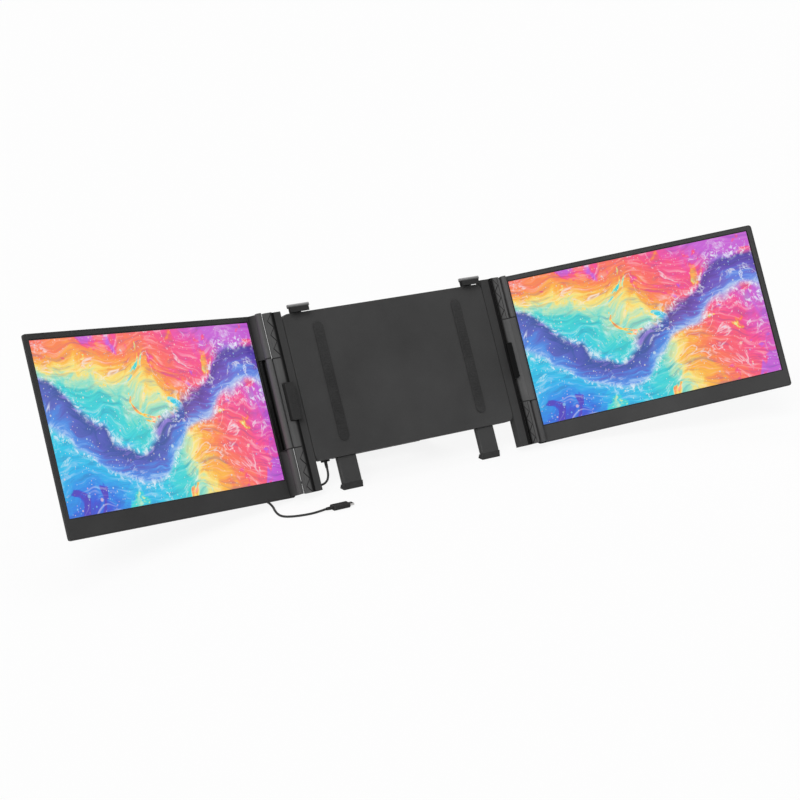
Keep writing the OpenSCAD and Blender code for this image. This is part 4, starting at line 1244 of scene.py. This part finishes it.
def barrel_cap(side, z, outward):
    """The shallow round cap that closes a barrel's pin hole at its free end."""
    c = hinge_axis(side)
    profile = [(z - outward * 0.5, 2.6), (z + outward * 0.02, 2.6), (z + outward * 0.02, 2.35),
               (z - outward * 0.25, 2.15), (z - outward * 0.25, 0.95), (z - outward * 0.1, 0.75),
               (z - outward * 0.1, 0)]
    return turned([(z - outward * 0.5, 0)] + profile, (c.x, c.y, 0), "z", 32)


print("points round a barrel:", len(barrel_outline("left")))

# %% [markdown]
# Painted shade gathers down the flank to its foot, towards the bottom, and where two barrels meet.

# %% Shade of the barrels
def barrel_shade(side):
    """Painted shade down the flank to its foot, on the right bar's side by the post, towards the
    bottom and at the ends where two barrels meet.
    """
    foot = Vector((7.4, 1.0))
    top = touching(foot, hinge_axis(side), BARREL_R)
    down = foot - top
    to_post = wing(side).inverted() @ monitor(side)

    def shade(at):
        along = (Vector((at.x, at.y)) - top).dot(down) / down.length_squared
        off = abs((Vector((at.x, at.y)) - top).cross(down)) / down.length
        flank = 0.0 if off > 0.7 or along < -0.02 else 0.9 * min(1, max(0, along))
        p = to_post @ at
        beside = ease((p.y - 1.6) / 3.0) * 0.72 if side == "right" and p.x < 184 else 0.0
        low = (0.34 if side == "right" else 0.14) * ease((60 - at.z) / 30)
        joint = 0.75 if min(abs(at.z - BARREL_Z[0][1]), abs(at.z - BARREL_Z[1][0])) < 0.3 else 0.0
        return max(flank, beside, low, joint)

    return shade


for side in SIDES:
    at, body = monitor(side), f"{side}_monitor"
    bars = [soften(prism(barrel_outline(side), z0, z1, "z"), 0.45, 3, 50) for z0, z1 in BARREL_Z]
    for bar in bars:
        slice_at(bar, [BARREL_Z[0][1] - 0.9, BARREL_Z[1][0] + 0.9], "z")
    caps = [barrel_cap(side, BARREL_Z[0][0], -1), barrel_cap(side, BARREL_Z[1][1], 1)]
    barrels = as_mesh(join(*bars, *caps), "barrels")
    paint_points(barrels, "shade", barrel_shade(side))
    lay(barrels, f"{side}_hinge_barrels", at, body, "wing_plastic", f"{side}_hinge_blocks")

# %% [markdown]
# Behind a monitor are its screws and two small keys. A key is a turned button
# with a ring round a shallow dish.

# %% Screws and keys
def key():
    profile = [(4.4, 0), (4.4, 4.2), (5.3, 4.2), (5.3, 3.0), (6.9, 3.0), (7.12, 2.92),
               (7.25, 2.7), (7.3, 2.4), (7.28, 2.1), (7.1, 1.7), (7.0, 1.1), (6.98, 0)]
    return turned(profile, (0, 0, 0), "y", 40)


SCREW_Z = (8, 32, 164.5, 188.5)
for side in SIDES:
    at, body = monitor(side), f"{side}_monitor"
    small = copies(screw(1.9, 0.88, 1.0, 9.4), [(2.2, 6.12, z) for z in SCREW_Z], "black_steel")
    lay(small, f"{side}_cover_screws", at, body, "black_steel", f"{side}_monitor_screws")
    for use, x in (("power", 300.0), ("menu", 320.0)):
        lay(key(), f"{side}_{use}_key_cap", at @ Matrix.Translation((x, 0, 2)),
            f"{side}_{use}_key", "dark_plastic", f"{side}_{use}_button")

# %% [markdown]
# ## The wings
#
# A wing is a post beside the laptop's lid. Its front wears three covers. The
# two end covers are engraved with a zigzag that runs on from one cover to the
# other, and with a line beside it. The turns repeat, so a geometry tree lays
# the cutters out along the cover and subtracts them from the plate.

# %% A tree that engraves a zigzag
def calc_geometry(tree, operation, a, b):
    return node(tree, "ShaderNodeMath", [a, b], operation=operation).outputs[0]


def build_engraving():
    takes = [("Rows", "Int"), ("Pitch", "Float"), ("Start", "Vector"), ("Tilt", "Float"),
             ("Long", "Float"), ("Line", "Float"), ("Depth", "Float"), ("Finish", "Material")]
    tree, given, result = geometry_tree("engraved zigzag", takes)
    twice = calc_geometry(tree, "MULTIPLY", given["Depth"], 2.0)
    unit = tree.nodes.new("GeometryNodeJoinGeometry")
    for way, thick in ((1, 1.0), (-1, 0.7)):
        size = node(tree, "ShaderNodeCombineXYZ", [
            calc_geometry(tree, "MULTIPLY", given["Line"], thick), twice, given["Long"]])
        bar = node(tree, "GeometryNodeMeshCube", {"Size": size.outputs[0]})
        up = node(tree, "ShaderNodeCombineXYZ", {
            "Z": calc_geometry(tree, "MULTIPLY", given["Pitch"], -0.25 * way)})
        turn = node(tree, "ShaderNodeCombineXYZ", {
            "Y": calc_geometry(tree, "MULTIPLY", given["Tilt"], way)})
        slanted = node(tree, "GeometryNodeTransform", {
            "Geometry": bar.outputs[0], "Translation": up.outputs[0],
            "Rotation": turn.outputs[0]})
        tree.links.new(slanted.outputs[0], unit.inputs[0])
    step = node(tree, "ShaderNodeCombineXYZ", {"Z": given["Pitch"]})
    line = node(tree, "GeometryNodeMeshLine", {
        "Count": given["Rows"], "Start Location": given["Start"], "Offset": step.outputs[0]})
    spread_out = node(tree, "GeometryNodeInstanceOnPoints", {
        "Points": line.outputs[0], "Instance": unit.outputs[0]})
    cutters = node(tree, "GeometryNodeRealizeInstances", {"Geometry": spread_out.outputs[0]})
    carve = node(tree, "GeometryNodeMeshBoolean", {"Mesh 1": given["Geometry"]},
                 operation="DIFFERENCE", solver="EXACT")
    tree.links.new(cutters.outputs[0], carve.inputs["Mesh 2"])
    carve.inputs["Self Intersection"].default_value = True
    whole = node(tree, "GeometryNodeRealizeInstances", {"Geometry": carve.outputs[0]})
    dressed = node(tree, "GeometryNodeSetMaterial", {"Geometry": whole.outputs[0],
                                                     "Material": given["Finish"]})
    put(tree, result["Geometry"], dressed.outputs[0])
    return tree


ENGRAVING = build_engraving()
print("tree:", ENGRAVING.name)

# %% [markdown]
# The cut faces are painted dark as painted shade, so that fine moulded lines read as thin black
# strokes.

# %% Covers and columns of the wings
POST_X = (165.6, 178.9)
COVER_Y = (2.5, 4.2)
END_COVERS = ((-13.0, 43.0, False, 8.0), (153.5, 209.5, True, 11.5))
ZIG_PITCH, ZIG_WIDTH = 17.0, 6.7
ZIG_X = POST_X[0] + 1.7 + ZIG_WIDTH / 2
SIDE_LINE_X = ZIG_X + ZIG_WIDTH / 2 + 0.5


def cover_outline(z0, z1, top, r=3.0):
    """The post's face, with one round corner at its free outer end."""
    (x0, x1), z = POST_X, z1 if top else z0
    way = 1 if top else -1
    corner = [(x1 - r + r * math.sin(a), z - way * (r - r * math.cos(a)))
              for a in (math.radians(9 * k) for k in range(11))]
    if top:
        return [(x0, z0), (x1, z0)] + corner[::-1] + [(x0, z1)]
    return [(x0, z0)] + corner + [(x1, z1), (x0, z1)]


def engraved_cover(z0, z1, top, first, line_painted_shade):
    plate = soften(prism(cover_outline(z0, z1, top), *COVER_Y, "y"), 0.3, 2, 50)
    lines = [prism([(x, z0 + 1.2), (x + w, z0 + 1.2), (x + w, z1 - 1.2), (x, z1 - 1.2)],
                   COVER_Y[0] - 1, COVER_Y[0] + 0.45, "y")
             for x, w in ((POST_X[0] + 0.75, 0.3), (SIDE_LINE_X, 0.75))]
    plate = cut(plate, join(*lines))
    half = ZIG_PITCH / 2
    mesh = run_tree(ENGRAVING, as_mesh(plate, "cover"), Rows=3, Pitch=ZIG_PITCH,
                    Start=(ZIG_X, COVER_Y[0], z0 + first), Tilt=math.atan2(ZIG_WIDTH, half),
                    Long=math.hypot(ZIG_WIDTH, half), Line=1.0, Depth=0.45,
                    Finish=FINISH["cover_plastic"])
    bm = bmesh.new()
    bm.from_mesh(mesh)

    # Painted shade: the cut faces dark, and the side line as dark as its side asks.
    def groove_painted_shade(at, normal):
        deep = COVER_Y[0] + 0.1 < at.y < COVER_Y[0] + 0.6
        inside = POST_X[0] + 0.5 < at.x < POST_X[1] - 0.5 and z0 + 0.6 < at.z < z1 - 0.6
        if not (deep and inside):
            return 0.0
        return line_painted_shade if at.x > SIDE_LINE_X - 0.1 else 0.95

    paint_faces(bm, "dark", groove_painted_shade)
    return bm


print("zigzag leans by", round(math.degrees(math.atan2(ZIG_WIDTH, ZIG_PITCH / 2)), 1))

# %% [markdown]
# The covers are painted darker along the inner rim, over their inner part, towards the bottom on
# the right and at their joints, and the wall round the back of the hinge is painted black and the
# post's inner strip dark, all as painted shade.

# %% Shade of the covers and the hinge's wall
RIM_CUTS = [POST_X[0] + d for d in (0.5, 1.2, 2.0, 3.0, 4.2, 6.4, 9.2)]
JOINTS = (43.08, 153.42)


def rim_shade(side):
    """Painted shade along a cover's inner rim, over its inner part, towards the bottom on the
    right, and at the joints between the covers.
    """
    def shade(at):
        low = 0.2 * ease((60 - at.z) / 30) if side == "right" else 0.0
        rim = 0.8 * (1 - ease((at.x - POST_X[0] - 0.4) / 3.8))
        flat = 0.14 * (1 - ease((at.x - POST_X[0] - 6.2) / 3.0))
        joint = 0.85 if min(abs(at.z - z) for z in JOINTS) < 0.6 else 0.0
        return min(1.0, max(low + rim + flat, joint))
    return shade


STRIP_X = {"left": 160.7, "right": 163.4}


def post_painted_shade(side):
    """Painted shade: black on the wall round the back of the hinge, dark on the post's inner strip
    and at the fixed knuckle's ends, and a little on the right knuckle's front.
    """
    def shade(at, normal):
        away = math.hypot(at.x - HINGE_X, at.y - HINGE_Y[side])
        if at.x < POST_X[0] + 0.1:
            return 0.5 if at.x < STRIP_X[side] else 0.93
        if at.x < 179.0:
            return 0.0
        if away > 7.9 and 42 < at.z < 154.5:
            return min(0.95, max(0.25, 0.28 + (at.x - 185.6) * 0.21)) if at.x < 191 else 0.95
        if at.z < 43.4 or at.z > 153.1:
            return 0.75
        return 0.16 if side == "right" and normal.y < -0.3 else 0.0
    return shade


print("shade cuts across a cover:", len(RIM_CUTS))

# %% [markdown]
# The cut covers, the plain cover between them and the post are laid together.

# %% Covers and posts on both sides
for side in SIDES:
    at, body = wing(side), f"{side}_wing"
    # The side line is painted shade: dark on the right, unpainted on the left.
    side_line_painted_shade = 0.0 if side == "left" else 0.85
    plates = join(*[engraved_cover(*cover, side_line_painted_shade) for cover in END_COVERS])
    middle = node_in(f"{side}_middle_cover", at)
    soften(middle, 0.2, 2)
    for bm, piece, source in ((plates, "engraved_covers", "end_covers"),
                              (middle, "middle_cover_soft", "middle_cover")):
        slice_at(bm, RIM_CUTS, "x")
        slice_at(bm, [30, 52, 60] + [z + d for z in JOINTS for d in (-0.8, -0.5, 0.5, 0.8)], "z")
        mesh = as_mesh(bm, piece)
        paint_points(mesh, "shade", rim_shade(side))
        lay(mesh, f"{side}_{piece}", at, body, "cover_plastic", f"{side}_{source}", 30)
    post = node_in(f"{side}_column", at)
    soften(post, 0.3, 2)
    slice_at(post, [STRIP_X[side], POST_X[0] + 0.05], "x")
    slice_at(post, [43.4, 153.1], "z")
    paint_faces(post, "dark", post_painted_shade(side))
    lay(post, f"{side}_column_soft", at, body, "wing_plastic", f"{side}_column")

# %% [markdown]
# Between a turning barrel and the fixed one lies a thin black washer, which
# keeps them from rubbing and closes the view through the gap. It has a bore,
# through which the steel pin passes with a little play.

# %% Hinge washers
WASHER_BORE_R, WASHER_T = 1.9, 0.34


def washer(side):
    """A ring round the pin with a wide sector behind it, cut off along the flank."""
    cy = HINGE_Y[side]
    tangent, flank = (-24, 40) if side == "left" else (-32, 31)

    def ring(r, start, end, steps):
        angles = (math.radians(start + (end - start) * k / steps) for k in range(steps + 1))
        return [(HINGE_X + r * math.cos(a), cy + r * math.sin(a)) for a in angles]

    return ring(9.4, 118, flank, 20) + ring(3.55, tangent, -180, 16)


for side in SIDES:
    bore = circle(HINGE_X, HINGE_Y[side], WASHER_BORE_R)
    plates = [cut(prism(washer(side), z - WASHER_T / 2, z + WASHER_T / 2, "z"),
                  prism(bore, z - 1, z + 1, "z")) for z in (42.5, 154.0)]
    lay(join(*plates), f"{side}_hinge_washers", wing(side), f"{side}_wing", "soft_rubber")

# %% [markdown]
# A clip reaches over the lid's side edge. It has ribs for the thumb, set on its
# face by the copying tree, and a rubber pad behind its lip. The arms that slide
# in the housing are steel, and four screws hold them in the post.

# %% Clips, pads, arms and their screws
def cap_painted_highlight(at):
    """A hook's cap gets a painted highlight for the reflection on its polished top: dark below its
    lower edge, then ever paler upwards.
    """
    on_cap = at.z > 210.75 and at.y < 4.9
    return 0.12 + 0.88 * ease((at.z - 211.0) / 3.3) if on_cap else 0.0


for side in SIDES:
    at, body = wing(side), f"{side}_wing"
    reach = 4.6 if side == "left" else 3.0
    rib = soften(prism(round_box(-reach, -0.45, reach, 0.45, 0.4, 3), -0.18, 0.3, "y"),
                 0.12, 1, 60)
    middle = 167.5 if side == "left" else 165.4
    ribs = copies(rib, [(middle, -3.0, 98.4 + 2.2 * k) for k in range(-4, 5)], "dark_plastic")
    clip = soften(node_copy(f"{side}_side_clip"), 0.45, 2)
    clip.transform(at.inverted() @ MM)
    clip.from_mesh(ribs)
    # The right clip is painted almost black all over, as painted shade.
    paint_faces(clip, "dark", lambda at, normal, right=side == "right": 0.93 if right else 0.0)
    lay(clip, f"{side}_clip_with_ribs", at, body, "dark_plastic", f"{side}_side_clip")
    soft_copy(f"{side}_clip_pad", 0.12, body, "soft_rubber", 1)
    soft_copy(f"{side}_arms", 0.25, body, "bright_steel")
    spots = [(160, 16.05, z + dz) for z in (45, 165) for dz in (-5, 5)]
    large = copies(screw(2.5, 1.1, 1.25, 7.0), spots, "black_steel")
    lay(large, f"{side}_arm_screws", at, body, "black_steel", f"{side}_wing_screws")
    hook = f"{side}_hook_slide"
    cap = node_in(f"{side}_hook", at)
    soften(cap, 0.35, 3)
    cap = as_mesh(cap, "hook")
    paint_points(cap, "painted_highlight", cap_painted_highlight)
    lay(cap, f"{side}_hook_soft", at, hook, "hook_plastic", f"{side}_hook")
    soft_copy(f"{side}_hook_pad", 0.12, hook, "soft_rubber", 1)

# %% [markdown]
# ## The centre housing
#
# Two flat shells make the housing. On its front are two long rubber pads for
# the laptop's lid, and on its back are the signal box and the kickstand.

# %% Housing shells, legs and pads
HOUSING_BACK = 17.2
rear = node_in("back_shell", LID)
rear = cut(soften(rear, 0.4, 2), ring_groove(-133, 38, 133, 187, 8, HOUSING_BACK))


def housing_line(p, normal):
    """Painted shade: black in the thin line on the housing's back."""
    deep = HOUSING_BACK - 0.4 < p.y < HOUSING_BACK - 0.05
    return 0.8 if deep and abs(p.x) < 134 and 37 < p.z < 188 else 0.0


paint_faces(rear, "dark", housing_line)
lay(rear, "back_shell_soft", LID, "frame", "housing_plastic", "back_shell")

for name, width, slot_name in (
        ("front_shell", 0.4, "housing_plastic"),
        ("hub_box", 0.6, "housing_plastic"), ("support_legs", 0.7, "housing_plastic"),
        ("leg_feet", 0.3, "soft_rubber"), ("stand_brackets", 0.4, "dark_plastic")):
    soft_copy(name, width, "frame", slot_name)

pads = []
for x in (-104, 104):
    base = soften(prism(round_box(x - 7, 40, x + 7, 190, 6.9, 10), 5.6, 7.0, "y"), 0.25, 2, 60)
    rib = soften(prism(round_box(-5.4, -0.6, 5.4, 0.6, 0.55, 4), -0.35, 0.6, "y"), 0.15, 1, 60)
    ribs = copies(rib, [(x, 5.55, 49 + 3.3 * k) for k in range(41)], "soft_rubber")
    base.from_mesh(ribs)
    pads.append(base)
lay(join(*pads), "ribbed_lid_pads", LID, "frame", "soft_rubber", "lid_pads")

BOSSES = [(-20, 32), (20, 32), (-20, 196), (20, 196), (-142, 105), (142, 105)]
shell_set = copies(screw(2.9, 0.88, 1.5, 6.3), [(x, 16.32, z) for x, z in BOSSES], "black_steel")
lay(shell_set, "housing_screws", LID, "frame", "black_steel", "shell_screws")

# %% [markdown]
# The ports are steel mouths with a thin tongue that carries the contacts.

# %% Ports
tongues = []
for x in (-130, -112):
    tongues.append(soften(prism(round_box(x - 3.3, 20.9, x + 3.3, 21.5, 0.28, 3), 43.2, 49.6, "z"),
                          0.08, 1, 60))
mouths = node_copy("hub_ports")
mouths.transform(LID.inverted() @ MM)
mouths = soften(mouths, 0.1, 1, 60)
lay(mouths, "port_mouths", LID, "frame", "bright_steel", "hub_ports")
lay(join(*tongues), "port_tongues", LID, "frame", "dark_plastic")
lamp_dot = turned([(25.5, 0), (25.5, 1.2), (25.78, 1.1), (25.85, 0.6), (25.85, 0)],
                  (-94, 0, 98), "y", 24)
lay(lamp_dot, "signal_light", LID, "frame", "diffuser")

# %% [markdown]
# ## The kickstand
#
# The kickstand is a plate with a window and two knuckles, and its foot is a
# rubber roll. The plate's own frame lies at its pivot and leans until the roll
# touches the desk, so that a shallow line can be cut along its edge.

# %% Kickstand
STAND_PIVOT, STAND_REACH, ROLL_R = (0, 20.7, 92), 108, 3
pivot = LID @ Matrix.Translation(STAND_PIVOT)
slope = math.acos((pivot.translation.z * 1000 - ROLL_R) / STAND_REACH)
STAND = pivot @ Matrix.Rotation(slope + LEAN, 4, "X")
plate = node_in("kickstand_plate", STAND)
plate = cut(soften(plate, 0.6, 2), ring_groove(-74, -103.5, 74, -12, 5, 1.5, 0.4, 1.0))
lay(plate, "kickstand_plate_soft", STAND, "kickstand", "stand_metal", "kickstand_plate")
print("kickstand slope:", round(math.degrees(slope), 2))
soft_copy("kickstand_foot", 0.3, "kickstand", "soft_rubber")

# %% [markdown]
# The pieces that stay as CAD shapes are inside or in shade, such as pins,
# bushes and boards. They only get their finish.

# %% Finishes of the kept CAD nodes
kept = {item["node"]: item["material_slot"] for item in frame["record"]["subparts"]}
for name, obj in frame["nodes"].items():
    if not obj.hide_render:
        obj.data.materials.clear()
        obj.data.materials.append(FINISH[kept[name]])
        print("kept:", name)

# %% End
print("scene built")
